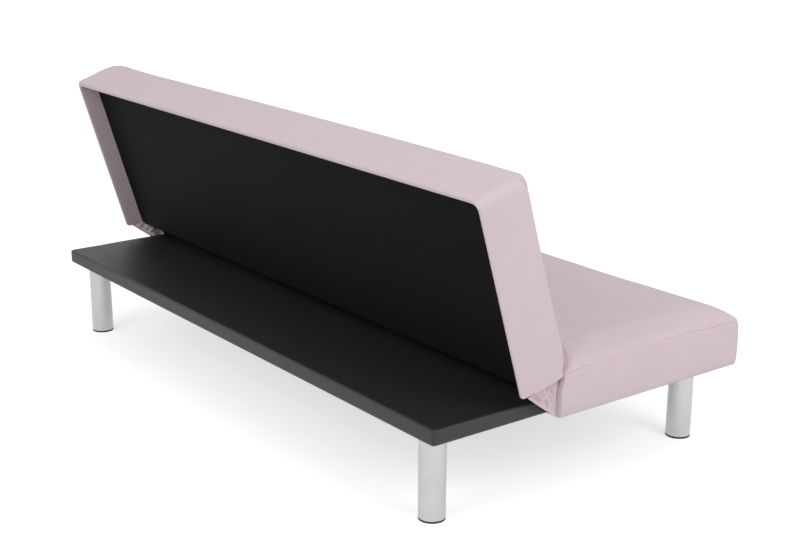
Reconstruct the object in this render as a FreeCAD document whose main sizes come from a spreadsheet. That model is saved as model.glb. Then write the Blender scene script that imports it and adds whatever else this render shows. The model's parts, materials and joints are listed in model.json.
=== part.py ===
import FreeCAD, Part
import math
import os
import re
import Sketcher

# A click clack sofa bed, seen from the front along +Y, with +X to the right and Z up. The origin is
# on the floor below the middle of the sofa. The seat and the low platform behind it stand on four
# legs. The backrest is a tray that folds down over the platform on a ratchet hinge at each end.

os.makedirs("parts", exist_ok=True)
doc = FreeCAD.newDocument("ClickClackSofaBed")
sheet = doc.addObject("Spreadsheet::Sheet", "Dimensions")

# Driving dimensions, in millimetres and degrees

DIMENSIONS = {
    # Outside of the upholstery
    "sofa_length": 1780,
    "seat_depth": 567,
    "platform_depth": 315,
    "platform_length": 1697,
    "leg_height": 200,
    "seat_height": 350,
    "platform_height": 237.5,
    "back_height": 469,
    "back_front": 61.3,
    "back_rear": 100.7,
    "back_tilt": 16.5,
    "release_angle": 8,
    "shoulder_radius": 40,
    "seat_corner_radius": 18,
    "seat_rear_corner_radius": 8,
    "seat_edge_radius": 10,
    "platform_corner_radius": 8,
    "platform_edge_radius": 6,
    "back_corner_radius": 22,
    # The tray walls stop short of the backrest's lower edge, with a rounded corner at the rear
    "tray_wall_start": -52,
    "tray_wall_run": 12,
    "tray_wall_lift": 6,
    "tray_corner_radius": 13,
    "cover": 1.5,
    "cover_return": 25,
    # Line of the hinge, behind the seat's rear face and above the floor
    "hinge_gap": 12,
    "hinge_height": 290,
    "back_below_hinge": 2,
    # Crease between the pads: each pad slopes away from the hinge line
    "seat_groove_radius": 20.7,
    "seat_slope": 52,
    "seat_slope_offset": -11,
    "back_nose_radius": 19.7,
    "back_slope": 40,
    "back_slope_offset": 11.5,
    # Wooden frames
    "rail": 18,
    "board": 12,
    "tray_board": 3,
    "rail_top": 260,
    "seat_foam_bottom": 266,
    "inner_half_length": 850,
    "bearer_top": 242,
    "bearer_spacing": 420,
    "spacer_length": 60,
    "front_spacer_place": -300,
    "rear_spacer_place": -90,
    "leg_block": 92,
    "leg_block_height": 35,
    "back_inner_half_length": 846,
    "back_rail_front": -24,
    "back_foam_rear": -18,
    "backing_plane": -50,
    "stile_front": -32,
    "hinge_block_length": 150,
    "upper_spacer_place": 380,
    "middle_spacer_place": 200,
    # Legs
    "leg_diameter": 60,
    "leg_wall": 1.5,
    "leg_inset": 110,
    "front_leg_inset": 60,
    "rear_leg_inset": 56,
    "cap_thickness": 3,
    "glide_height": 5,
    "glide_plug": 14,
    "leg_bolt_radius": 4.7,
    "leg_bolt_head_radius": 8.5,
    "leg_bolt_head": 6,
    "tee_nut_bore": 5,
    "tee_nut_radius": 6.5,
    "tee_nut_flange_radius": 12,
    "tee_nut_flange": 1.5,
    "tee_nut_barrel": 12,
    "tee_nut_play": 0.2,
    "thread_play": 0.1,
    "bolt_end_gap": 2,
    # Zigzag springs and their clips
    "spring_wire_radius": 1.75,
    "spring_pitch": 40,
    "spring_half_width": 30,
    "spring_spacing": 200,
    "spring_level": 2.5,
    "clip_length": 44,
    "clip_width": 14,
    "clip_back": 3.5,
    "clip_height": 5.2,
    "clip_gap_low": 0.6,
    "clip_gap_high": 4.4,
    "bracket_reach": 40,
    "bracket_thickness": 2,
    "bracket_height": 17,
    "bracket_drop": 5,
    # Platform bolts
    "bolt_radius": 4,
    "bolt_clearance": 0.4,
    "bolt_head_radius": 7.5,
    "bolt_head": 5.5,
    "bolt_level": 213,
    "outer_bolt_place": 700,
    "inner_bolt_place": 250,
    # Hinge, outwards from the inner frame: seat arm, ratchet and pawl, back arm
    "arm_thickness": 3,
    "arm_boss_radius": 17,
    "seat_knee_y": -16,
    "seat_knee_z": -38,
    "seat_knee_radius": 18,
    "seat_tail_y": -120,
    "seat_tail_z": -46,
    "tail_radius": 10,
    "back_knee_y": 24,
    "back_arm_z": -37,
    "back_tail_y": 130,
    "ratchet_start": 3.5,
    "ratchet_end": 7.8,
    "ratchet_radius": 19.5,
    "notch_root": 14.6,
    "notch_width": 6,
    "notch_angle": 126.5,
    "notch_step": 36.75,
    "pawl_end": 7.3,
    "pawl_pivot_y": -6,
    "pawl_pivot_z": -34,
    "pawl_boss_radius": 5,
    "pawl_elbow_y": -16.6,
    "pawl_elbow_z": 25.8,
    "pawl_elbow_radius": 3,
    "pawl_nose_y": -10.2,
    "pawl_nose_z": 28.1,
    "pawl_nose_radius": 2,
    "pawl_pin_radius": 3,
    "pawl_lift": 10,
    "rivet_radius": 5,
    "rivet_head_radius": 9,
    "rivet_head": 2.5,
    "bore_clearance": 0.1,
    "rivet_end_gap": 0.3,
    "screw_radius": 2.5,
    "screw_head_radius": 5,
    "screw_head": 2.5,
    "screw_length": 12,
    "screw_end_distance": 8,
    "seat_screw_step": 70,
    "seat_screw_rise": 3,
    "pawl_strip": 1.2,
    "pawl_strip_length": 26,
    "pawl_strip_back": 26.6,
    "pawl_strip_low": 4,
    "hinge_slot_inner": 847.2,
    "hinge_slot_outer": 863.8,
    "seat_slot_depth": 38,
    "seat_slot_height": 58,
    "back_slot_depth": 32,
    # How far a cutting tool runs past the face it opens
    "past": 1,
    # Fabric gusset that closes the gap below each end of the backrest
    "gusset": 1.2,
    "gusset_inset": 2,
    "gusset_gap": 0.3,
    "gusset_hem": 2,
    "gusset_foot": 3,
    "gusset_drop": 1.5,
    "gusset_start": 8,
    "gusset_end": 18,
}

for row, (alias, number) in enumerate(DIMENSIONS.items(), start=1):
    sheet.set(f"A{row}", alias)
    sheet.set(f"B{row}", str(number))
    sheet.setAlias(f"B{row}", alias)
doc.recompute()

# Places worked out from the driving dimensions, as formulas

HALF = "sofa_length / 2"
SEAT_FRONT = "-(seat_depth + platform_depth) / 2"
SEAT_REAR = "(seat_depth - platform_depth) / 2"
PLATFORM_REAR = "(seat_depth + platform_depth) / 2"
PLATFORM_HALF = "platform_length / 2"
FLOOR = "leg_height + cover"
HINGE_Y = f"{SEAT_REAR} + hinge_gap"
SIDE = f"{HALF} - cover"
BOARD_INSIDE = f"{HALF} - cover - board"
TRAY_BOARD_INSIDE = f"{HALF} - cover - tray_board"
RIM_INSIDE = f"{HALF} - 2 * cover - tray_board"
BACK_TOP = "back_height - back_below_hinge"
RIM_TOP = f"{BACK_TOP} - 2 * cover - tray_board"
ARM = "inner_half_length"
BACK_ARM = f"{ARM} + ratchet_end"
BLOCK = f"{BACK_ARM} + arm_thickness"
LEG_X = f"{HALF} - leg_inset"
FRONT_LEG_Y = f"{SEAT_FRONT} + front_leg_inset"
REAR_LEG_Y = f"{PLATFORM_REAR} - rear_leg_inset"
NODES = {}


def formula(text):
    """The text with every dimension's name pointed at its cell."""
    return re.sub(r"[a-z]\w*",
                  lambda word: f"Dimensions.{word[0]}" if word[0] in DIMENSIONS else word[0], text)


def size(text):
    """The number that a formula gives, for shapes drawn point by point."""
    return float(sheet.evalExpression(formula(text)))


def minus(text):
    return f"-({text})"


def span(start, length):
    """From start, over a length."""
    return start, f"{start} + {length}"


def to_side(sign, low, high):
    """A span that is measured outwards from the middle, on the right (1) or the left (-1)."""
    return (low, high) if sign > 0 else (minus(high), minus(low))


SIDES = (("left", -1), ("right", 1))

# Screws through the hinge arms: y and z from the hinge line

SEAT_SCREWS = [("seat_tail_y + seat_screw_step", "seat_tail_z + seat_screw_rise"),
               ("seat_tail_y + screw_end_distance", "seat_tail_z")]
BACK_SCREWS = [("back_knee_y + screw_end_distance", "back_arm_z"),
               ("back_tail_y - screw_end_distance", "back_arm_z")]


def from_hinge(y, z):
    return f"{HINGE_Y} + {y}", f"hinge_height + {z}"


def node(label, piece):
    """Keeps a finished piece under its own label, which also names its file."""
    piece.Label = label
    NODES[label] = piece
    return piece


def box(label, x, y, z):
    """A box between two planes along each axis."""
    piece = doc.addObject("Part::Box", label)
    for axis, side, (low, high) in zip("xyz", ("Length", "Width", "Height"), (x, y, z)):
        piece.setExpression(f"Placement.Base.{axis}", formula(low))
        piece.setExpression(side, formula(f"({high}) - ({low})"))
    return piece


def along(piece, axis, centre, run):
    """Lays an upright round piece along an axis, between two planes, about a centre line."""
    low, high = run
    turns = {"x": FreeCAD.Rotation(0, 90, 0), "y": FreeCAD.Rotation(0, 0, -90), "z": FreeCAD.Rotation()}
    piece.Placement = FreeCAD.Placement(FreeCAD.Vector(), turns[axis])
    places = dict(zip([name for name in "xyz" if name != axis], centre))
    places[axis] = low
    for name, place in places.items():
        piece.setExpression(f"Placement.Base.{name}", formula(place))
    piece.setExpression("Height", formula(f"({high}) - ({low})"))
    return piece


def rod(label, axis, centre, run, radius):
    piece = doc.addObject("Part::Cylinder", label)
    piece.setExpression("Radius", formula(radius))
    return along(piece, axis, centre, run)


def hexagon(label, axis, centre, run, radius):
    piece = doc.addObject("Part::Prism", label)
    piece.Polygon = 6
    piece.setExpression("Circumradius", formula(radius))
    return along(piece, axis, centre, run)


def cut(label, piece, *tools):
    for number, tool in enumerate(tools):
        rest = doc.addObject("Part::Cut", f"{label}_cut_{number}")
        rest.Base = piece
        rest.Tool = tool
        piece = rest
    return piece


def fuse(label, *pieces):
    whole = doc.addObject("Part::MultiFuse", label)
    whole.Shapes = list(pieces)
    return whole


def shared(label, first, second):
    """The space that two solids have in common."""
    piece = doc.addObject("Part::Common", label)
    piece.Base = first
    piece.Tool = second
    return piece


def group(label, pieces):
    """Like pieces that stay separate solids."""
    whole = doc.addObject("Part::Compound", label)
    whole.Links = list(pieces)
    return whole


def on_hinge(piece, angle="0"):
    """Puts a piece made about the hinge line in its place, turned up by an angle."""
    piece.Placement = FreeCAD.Placement(FreeCAD.Vector(), FreeCAD.Rotation(FreeCAD.Vector(1, 0, 0), 30))
    piece.setExpression("Placement.Base.y", formula(HINGE_Y))
    piece.setExpression("Placement.Base.z", formula("hinge_height"))
    piece.setExpression("Placement.Rotation.Angle", formula(angle))
    return piece


def back_node(label, *pieces):
    """A backrest piece, made flat with the hinge line at the origin, then tilted to the sitting pose."""
    return node(label, on_hinge(group(f"{label}_tilted", pieces), "90 - back_tilt"))


def solid(label, shape):
    piece = doc.addObject("Part::Feature", label)
    piece.Shape = shape
    return piece


# Upholstery outlines

def face_of(edges):
    return Part.Face(Part.Wire(edges))


def line(start, end):
    return Part.LineSegment(FreeCAD.Vector(*start), FreeCAD.Vector(*end)).toShape()


def arc(start, middle, end):
    return Part.Arc(FreeCAD.Vector(*start), FreeCAD.Vector(*middle), FreeCAD.Vector(*end)).toShape()


def rounded(corner, across, up, radius):
    """The three points of a quarter arc that rounds a corner; across and up point into the face."""
    corner, across, up = (FreeCAD.Vector(*numbers) for numbers in (corner, across, up))
    centre = corner + (across + up) * radius
    middle = centre - (across + up) * radius * math.sqrt(0.5)
    return tuple(centre - across * radius), tuple(middle), tuple(centre - up * radius)


def across(half, first, second, way, radii):
    """An outline across the length, between two edges; way points from the first to the second, and
    each edge has its own radius at its two corners."""
    back = tuple(-number for number in way)
    corners = [rounded((sign * half, *edge), (-sign, 0, 0), inward, radius)
               for edge, inward, radius in ((first, way, radii[0]), (second, back, radii[1]))
               for sign in (-1, 1)]
    first_left, first_right, second_left, second_right = corners
    return face_of([
        line(first_left[2], first_right[2]),
        arc(*first_right[::-1]),
        line(first_right[0], second_right[0]),
        arc(*second_right),
        line(second_right[2], second_left[2]),
        arc(*second_left[::-1]),
        line(second_left[0], first_left[0]),
        arc(*first_left),
    ])


def end_on(half, low, high, radii):
    """Seen along Y: upright ends, with lower and upper corners rounded."""
    return across(half, (0, low), (0, high), (0, 0, 1), radii)


def plan(half, first, second, radii):
    """Seen from above: the corners at the first and the second edge rounded."""
    return across(half, (first, 0), (second, 0), (0, math.copysign(1, second - first), 0), radii)


def pad(side_face, end_face, plan_face, reach):
    """The space inside three outlines, each carried past the others by a reach along X, Y and Z."""
    half, depth, height = reach
    prisms = []
    ways = ((half, 0, 0), (0, 2 * depth, 0), (0, 0, 2 * height))
    for face, way in zip((side_face, end_face, plan_face), ways):
        half_run = FreeCAD.Vector(*way)
        prism = face.extrude(half_run * 2)
        prism.translate(-half_run)
        prisms.append(prism)
    return prisms[0].common(prisms[1]).common(prisms[2]).removeSplitter()


def crease(centre, radius, offset, angle, sign, top):
    """Where a pad's slope leaves the circle about the hinge line, and where it reaches the pad's top."""
    normal = (-sign * math.sin(angle), math.cos(angle))
    uphill = (sign * math.cos(angle), math.sin(angle))
    foot = (centre[0] + offset * normal[0], centre[1] + offset * normal[1])
    start = math.sqrt(radius ** 2 - offset ** 2)
    end = (top - foot[1]) / uphill[1]
    return [(foot[0] + way * uphill[0], foot[1] + way * uphill[1]) for way in (start, end)]


def seat_pad(label, inset):
    """The seat's outer shape, or the same shape inside its cover."""
    half, front, rear = size(HALF) - inset, size(SEAT_FRONT) + inset, size(SEAT_REAR) - inset
    low, high = size("leg_height") + inset, size("seat_height") - inset
    hinge = (size(HINGE_Y), size("hinge_height"))
    groove = size("seat_groove_radius") + inset
    shoulder = size("shoulder_radius") - inset
    corners = [size(name) - inset for name in ("seat_rear_corner_radius", "seat_corner_radius")]
    edge = size("seat_edge_radius") - inset
    slope = math.radians(size("seat_slope"))
    lip, brow = crease(hinge, groove, size("seat_slope_offset") - inset, slope, -1, high)
    mouth = (rear, hinge[1] - math.sqrt(groove ** 2 - (rear - hinge[0]) ** 2))
    deepest = (hinge[0] - groove, hinge[1])
    front_top = rounded((0, front, high), (0, 1, 0), (0, 0, -1), shoulder)
    front_low = rounded((0, front, low), (0, 1, 0), (0, 0, 1), edge)
    side = face_of([
        arc(*front_low),
        line(front_low[2], (0, rear, low)),
        line((0, rear, low), (0, *mouth)),
        arc((0, *mouth), (0, *deepest), (0, *lip)),
        line((0, *lip), (0, *brow)),
        line((0, *brow), front_top[2]),
        arc(*front_top[::-1]),
        line(front_top[0], front_low[0]),
    ])
    end = end_on(half, low, high, (edge, shoulder))
    return solid(label, pad(side, end, plan(half, rear, front, corners), (half, rear - front, high)))


def back_pad(label, inset):
    """The backrest's outer shape, or the same inside its cover, lying flat on the hinge line."""
    half = size(HALF) - inset
    near, far = -size("back_below_hinge") + inset, size(BACK_TOP) - inset
    low, high = -size("back_rear") + inset, size("back_front") - inset
    nose = size("back_nose_radius") - inset
    shoulder = size("shoulder_radius") - inset
    corner = size("back_corner_radius") - inset
    square = size("cover") + size("past") - inset
    slope = math.radians(size("back_slope"))
    lip, brow = crease((0, 0), nose, size("back_slope_offset") - inset, slope, 1, high)
    chin = (near, math.sqrt(nose ** 2 - near ** 2))
    mid_angle = (math.atan2(lip[1], lip[0]) + math.atan2(chin[1], chin[0])) / 2
    far_top = rounded((0, far, high), (0, -1, 0), (0, 0, -1), shoulder)
    wall_start = size("tray_wall_start")
    wall_end = near + size("tray_wall_lift")
    wall_corner = rounded((0, wall_end, low), (0, 1, 0), (0, 0, 1), size("tray_corner_radius") - inset)
    side = face_of([
        line((0, near, wall_start), (0, wall_end, wall_start - size("tray_wall_run"))),
        line((0, wall_end, wall_start - size("tray_wall_run")), wall_corner[0]),
        arc(*wall_corner),
        line(wall_corner[2], (0, far, low)),
        line((0, far, low), far_top[0]),
        arc(*far_top),
        line(far_top[2], (0, *brow)),
        line((0, *brow), (0, *lip)),
        arc((0, *lip), (0, nose * math.cos(mid_angle), nose * math.sin(mid_angle)), (0, *chin)),
        line((0, *chin), (0, near, wall_start)),
    ])
    end = end_on(half, low, high, (square, shoulder))
    return solid(label, pad(side, end, plan(half, near, far, (square, corner)), (half, far, high - low)))


def platform_pad(label, inset):
    """The platform's outer shape, or the same inside its cover. It carries on past the seat's rear
    face, where its front is cut off square."""
    half, rear = size(PLATFORM_HALF) - inset, size(PLATFORM_REAR) - inset
    low, high = size("leg_height") + inset, size("platform_height") - inset
    front = size(f"{SEAT_REAR}")
    edge, corner = (size(name) - inset for name in ("platform_edge_radius", "platform_corner_radius"))
    rear_top = rounded((0, rear, high), (0, -1, 0), (0, 0, -1), edge)
    rear_low = rounded((0, rear, low), (0, -1, 0), (0, 0, 1), edge)
    side = face_of([
        line((0, front, low), rear_low[2]),
        arc(*rear_low[::-1]),
        line(rear_low[0], rear_top[0]),
        arc(*rear_top),
        line(rear_top[2], (0, front, high)),
        line((0, front, high), (0, front, low)),
    ])
    end = end_on(half, low, high, (edge, edge))
    outline = plan(half, front - corner, rear, (corner, corner))
    return solid(label, pad(side, end, outline, (half, rear, high)))


# Springs: straight runs across, joined by half circles, with a straight end held in each clip

SPRINGS = 8


def zigzag(start, end, level):
    """One spring's wire, from a run across at start to a run across at end."""
    runs = round((end - start) / size("spring_pitch"))
    bend = (end - start) / runs / 2
    half = size("spring_half_width")
    straight = half - bend
    edges = []
    sign = 1
    for run in range(runs + 1):
        y = start + run * 2 * bend
        edges.append(line((-sign * straight, y, level), (sign * straight, y, level)))
        if run < runs:
            tip = (sign * half, y + bend, level)
            edges.append(arc((sign * straight, y, level), tip, (sign * straight, y + 2 * bend, level)))
        sign = -sign
    wire_end = FreeCAD.Vector(-straight, start, level)
    ring = Part.makeCircle(size("spring_wire_radius"), wire_end, FreeCAD.Vector(1, 0, 0))
    return Part.Wire(edges).makePipeShell([Part.Wire(ring)], True, False)


def springs_and_clips(name, start, end, rail_face):
    """A row of springs from the middle of one rail to the middle of the other, and a clip at each end."""
    shape = zigzag(size(start), size(end), size(rail_face) + size("spring_level"))
    springs, clips = [], []
    for number in range(SPRINGS):
        place = f"({number} - {(SPRINGS - 1) / 2}) * spring_spacing"
        spring = solid(f"{name}_spring_{number}", shape)
        spring.Placement = FreeCAD.Placement(FreeCAD.Vector(size(place), 0, 0), FreeCAD.Rotation())
        springs.append(spring)
        x = (f"{place} - clip_length / 2", f"{place} + clip_length / 2")
        clip_z = (rail_face, f"{rail_face} + clip_height")
        gap_z = (f"{rail_face} + clip_gap_low", f"{rail_face} + clip_gap_high")
        for where, middle, way in (("near", start, 1), ("far", end, -1)):
            label = f"{name}_clip_{where}_{number}"
            mouth = [f"{middle} - ({way}) * clip_back", f"{middle} + ({way}) * clip_width"][::way]
            body = box(label, x, (f"{middle} - clip_width / 2", f"{middle} + clip_width / 2"), clip_z)
            clips.append(cut(label, body, box(f"{label}_gap", x, mouth, gap_z)))
    return springs, clips


# Seat frame

FRAME_Z = (FLOOR, "rail_top")
FRONT_RAIL_Y = (f"{SEAT_FRONT} + cover", f"{SEAT_FRONT} + cover + rail")
REAR_RAIL_Y = (f"{SEAT_REAR} - cover - rail", f"{SEAT_REAR} - cover")
INSIDE_SEAT_Y = (FRONT_RAIL_Y[1], REAR_RAIL_Y[0])
BOLT_PLACES = [f"{sign} * {place}" for place in ("outer_bolt_place", "inner_bolt_place") for sign in (-1, 1)]


def bolt_holes(label, y):
    """Clearance holes for the bolts that hold the platform to the seat."""
    return [rod(f"{label}_hole_{number}", "y", (x, "bolt_level"), y, "bolt_radius + bolt_clearance")
            for number, x in enumerate(BOLT_PLACES)]


def seat_frame():
    inside = seat_pad("seat_inside", size("cover"))
    front = box("seat_front_rail_blank", (minus(BOARD_INSIDE), BOARD_INSIDE), FRONT_RAIL_Y, FRAME_Z)
    node("seat_front_rail", shared("seat_front_rail_shaped", front, inside))
    rear = box("seat_rear_rail_blank", (minus(ARM), ARM), REAR_RAIL_Y, FRAME_Z)
    node("seat_rear_rail", cut("seat_rear_rail", rear, *bolt_holes("seat_rear_rail", REAR_RAIL_Y)))
    side_rails, spacers, brackets, blocks = [], [], [], []
    for name, sign in SIDES:
        x = to_side(sign, f"{ARM} - rail", ARM)
        rail_piece = box(f"seat_side_rail_{name}", x, INSIDE_SEAT_Y, FRAME_Z)
        holes = [rod(f"seat_side_rail_{name}_hole_{number}", "x", from_hinge(*place), x, "screw_radius")
                 for number, place in enumerate(SEAT_SCREWS)]
        side_rails.append(cut(f"seat_side_rail_{name}", rail_piece, *holes))
        board = box(f"seat_end_board_{name}_blank", to_side(sign, BOARD_INSIDE, SIDE),
                    (FRONT_RAIL_Y[0], REAR_RAIL_Y[1]), ("leg_height + cover", "seat_foam_bottom"))
        node(f"seat_end_board_{name}", shared(f"seat_end_board_{name}_shaped", board, inside))
        for place in ("front_spacer_place", "rear_spacer_place"):
            spacers.append(box(f"seat_spacer_{name}_{place}", to_side(sign, ARM, BOARD_INSIDE),
                               span(place, "spacer_length"), FRAME_Z))
        block = box(f"seat_leg_block_{name}", to_side(sign, f"{ARM} - rail - leg_block", f"{ARM} - rail"),
                    span(FRONT_RAIL_Y[1], "leg_block"), span(FLOOR, "leg_block_height"))
        hole = leg_hole(f"seat_leg_block_{name}", sign, FRONT_LEG_Y)
        blocks.append(cut(f"seat_leg_block_{name}", block, hole))
        for end, wall, way in (("front", INSIDE_SEAT_Y[0], 1), ("rear", INSIDE_SEAT_Y[1], -1)):
            brackets.append(corner_bracket(f"seat_bracket_{name}_{end}", sign, f"{ARM} - rail", wall, way))
    node("seat_side_rails", group("seat_side_rails_pair", side_rails))
    node("seat_spacer_blocks", group("seat_spacers", spacers))
    node("seat_leg_blocks", group("seat_leg_block_pair", blocks))
    node("seat_corner_brackets", group("seat_brackets", brackets))
    bearers = [box(f"seat_bearer_{number}", span(f"{number} * bearer_spacing - rail / 2", "rail"),
                   INSIDE_SEAT_Y, (FLOOR, "bearer_top")) for number in (-1, 0, 1)]
    node("seat_bearers", group("seat_bearer_row", bearers))
    return inside


def corner_bracket(label, sign, side_wall, end_wall, way):
    """An angle of steel strip in the corner between a side rail and a cross rail."""
    reach = ("0", "bracket_reach")
    thin = ("0", "bracket_thickness")
    z = ("rail_top - bracket_drop - bracket_height", "rail_top - bracket_drop")

    def leg(part, across, forward):
        x = to_side(sign, f"{side_wall} - {across[1]}", f"{side_wall} - {across[0]}")
        y = (f"{end_wall} + {forward[0]}", f"{end_wall} + {forward[1]}")
        if way < 0:
            y = (f"{end_wall} - {forward[1]}", f"{end_wall} - {forward[0]}")
        return box(f"{label}_{part}", x, y, z)

    return fuse(label, leg("side", thin, reach), leg("end", reach, thin))


def leg_hole(label, sign, y):
    """Room for a leg's bolt and its tee nut."""
    centre = (f"{sign} * ({LEG_X})", y)
    return rod(f"{label}_hole", "z", centre, ("0", "rail_top"), "tee_nut_radius + tee_nut_play")


# Seat upholstery

def hinge_slots(label, y, z):
    """Room for the hinge in the upholstery at each end."""
    return [box(f"{label}_slot_{name}", to_side(sign, "hinge_slot_inner", "hinge_slot_outer"), y, z)
            for name, sign in SIDES]


def seat_upholstery(inside):
    above = box("seat_foam_block", (minus(HALF), HALF), (SEAT_FRONT, SEAT_REAR),
                ("seat_foam_bottom", "seat_height"))
    foam = shared("seat_foam_shaped", inside, above)
    slot_y = (f"{SEAT_REAR} - seat_slot_depth", f"{SEAT_REAR} + past")
    slot_z = ("hinge_height - seat_slot_height", "hinge_height")
    node("seat_foam", cut("seat_foam", foam, *hinge_slots("seat_foam", slot_y, slot_z)))
    window_x = (f"-({HALF} - cover_return)", f"{HALF} - cover_return")
    window_y = (f"{SEAT_FRONT} + cover_return", f"{SEAT_REAR} - cover_return")
    sole = ("leg_height", FLOOR)
    shell = cut("seat_cover", seat_pad("seat_outside", 0), inside,
                box("seat_window", window_x, window_y, sole),
                *hinge_slots("seat_cover", slot_y, slot_z),
                *bolt_holes("seat_cover", (REAR_RAIL_Y[1], SEAT_REAR)))
    node("seat_cover", shell)
    dust = box("seat_dust_sheet", window_x, window_y, sole)
    holes = [leg_hole(f"seat_dust_{name}", sign, FRONT_LEG_Y) for name, sign in SIDES]
    node("seat_dust_cover", cut("seat_dust_cover", dust, *holes))
    springs, clips = springs_and_clips("seat", f"{FRONT_RAIL_Y[0]} + rail / 2",
                                       f"{REAR_RAIL_Y[0]} + rail / 2", "rail_top")
    node("seat_springs", group("seat_spring_row", springs))
    node("seat_spring_clips", group("seat_clip_row", clips))


# Platform behind the seat

PLATFORM_SIDE = f"{PLATFORM_HALF} - cover"
PLATFORM_BOARD_Z = ("platform_height - cover - board", "platform_height - cover")
PLATFORM_RAIL_Z = (FLOOR, PLATFORM_BOARD_Z[0])
PLATFORM_FRONT_Y = span(SEAT_REAR, "rail")
PLATFORM_REAR_Y = (f"{PLATFORM_REAR} - cover - rail", f"{PLATFORM_REAR} - cover")
PLATFORM_INSIDE_Y = (PLATFORM_FRONT_Y[1], PLATFORM_REAR_Y[0])


def platform():
    inside = platform_pad("platform_inside", size("cover"))
    full_x = (minus(PLATFORM_SIDE), PLATFORM_SIDE)
    blank = box("platform_front_rail_blank", full_x, PLATFORM_FRONT_Y, PLATFORM_RAIL_Z)
    front = shared("platform_front_rail_shaped", blank, inside)
    node("platform_front_rail",
         cut("platform_front_rail", front, *bolt_holes("platform_front_rail", PLATFORM_FRONT_Y)))
    rear = box("platform_rear_rail_blank", full_x, PLATFORM_REAR_Y, PLATFORM_RAIL_Z)
    node("platform_rear_rail", shared("platform_rear_rail_shaped", rear, inside))
    end_rails, blocks = [], []
    for name, sign in SIDES:
        end_x = to_side(sign, f"{PLATFORM_SIDE} - rail", PLATFORM_SIDE)
        end_rail = box(f"platform_end_rail_{name}_blank", end_x, PLATFORM_INSIDE_Y, PLATFORM_RAIL_Z)
        end_rails.append(shared(f"platform_end_rail_{name}", end_rail, inside))
        block = box(f"platform_leg_block_{name}",
                    to_side(sign, f"{PLATFORM_SIDE} - rail - leg_block", f"{PLATFORM_SIDE} - rail"),
                    (f"{PLATFORM_REAR_Y[0]} - leg_block", PLATFORM_REAR_Y[0]),
                    (FLOOR, f"{PLATFORM_BOARD_Z[0]} - tee_nut_flange"))
        blocks.append(cut(f"platform_leg_block_{name}", block,
                          leg_hole(f"platform_leg_block_{name}", sign, REAR_LEG_Y)))
    node("platform_end_rails", group("platform_end_rail_pair", end_rails))
    node("platform_leg_blocks", group("platform_leg_block_pair", blocks))
    bearers = [box(f"platform_bearer_{number}", span(f"{number} * bearer_spacing - rail / 2", "rail"),
                   PLATFORM_INSIDE_Y, PLATFORM_RAIL_Z) for number in (-1, 0, 1)]
    node("platform_bearers", group("platform_bearer_row", bearers))
    top = box("platform_top_board_blank", full_x, (SEAT_REAR, PLATFORM_REAR_Y[1]), PLATFORM_BOARD_Z)
    node("platform_top_board", shared("platform_top_board_shaped", top, inside))
    window_x = (f"-({PLATFORM_HALF} - cover_return)", f"{PLATFORM_HALF} - cover_return")
    window_y = (SEAT_REAR, f"{PLATFORM_REAR} - cover_return")
    sole = ("leg_height", FLOOR)
    node("platform_cover",
         cut("platform_cover", platform_pad("platform_outside", 0), inside,
             box("platform_window", window_x, window_y, sole)))
    dust = box("platform_dust_sheet", window_x, window_y, sole)
    holes = [leg_hole(f"platform_dust_{name}", sign, REAR_LEG_Y) for name, sign in SIDES]
    node("platform_dust_cover", cut("platform_dust_cover", dust, *holes))
    bolts, nuts = [], []
    for number, x in enumerate(BOLT_PLACES):
        centre = (x, "bolt_level")
        shank = rod(f"platform_bolt_shank_{number}", "y", centre,
                    (f"{REAR_RAIL_Y[0]} - bolt_head - bolt_end_gap", PLATFORM_FRONT_Y[1]), "bolt_radius")
        head = hexagon(f"platform_bolt_head_{number}", "y", centre, span(PLATFORM_FRONT_Y[1], "bolt_head"),
                       "bolt_head_radius")
        bolts.append(fuse(f"platform_bolt_{number}", shank, head))
        nut_y = (f"{REAR_RAIL_Y[0]} - bolt_head", REAR_RAIL_Y[0])
        nut = hexagon(f"platform_nut_blank_{number}", "y", centre, nut_y, "bolt_head_radius")
        bore = rod(f"platform_nut_bore_{number}", "y", centre, nut_y, "bolt_radius + thread_play")
        nuts.append(cut(f"platform_nut_{number}", nut, bore))
    node("platform_bolts", group("platform_bolt_row", bolts))
    node("platform_nuts", group("platform_nut_row", nuts))


# Legs: steel tube, top plate with its bolt, tee nut in the block above, glide in the foot

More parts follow.
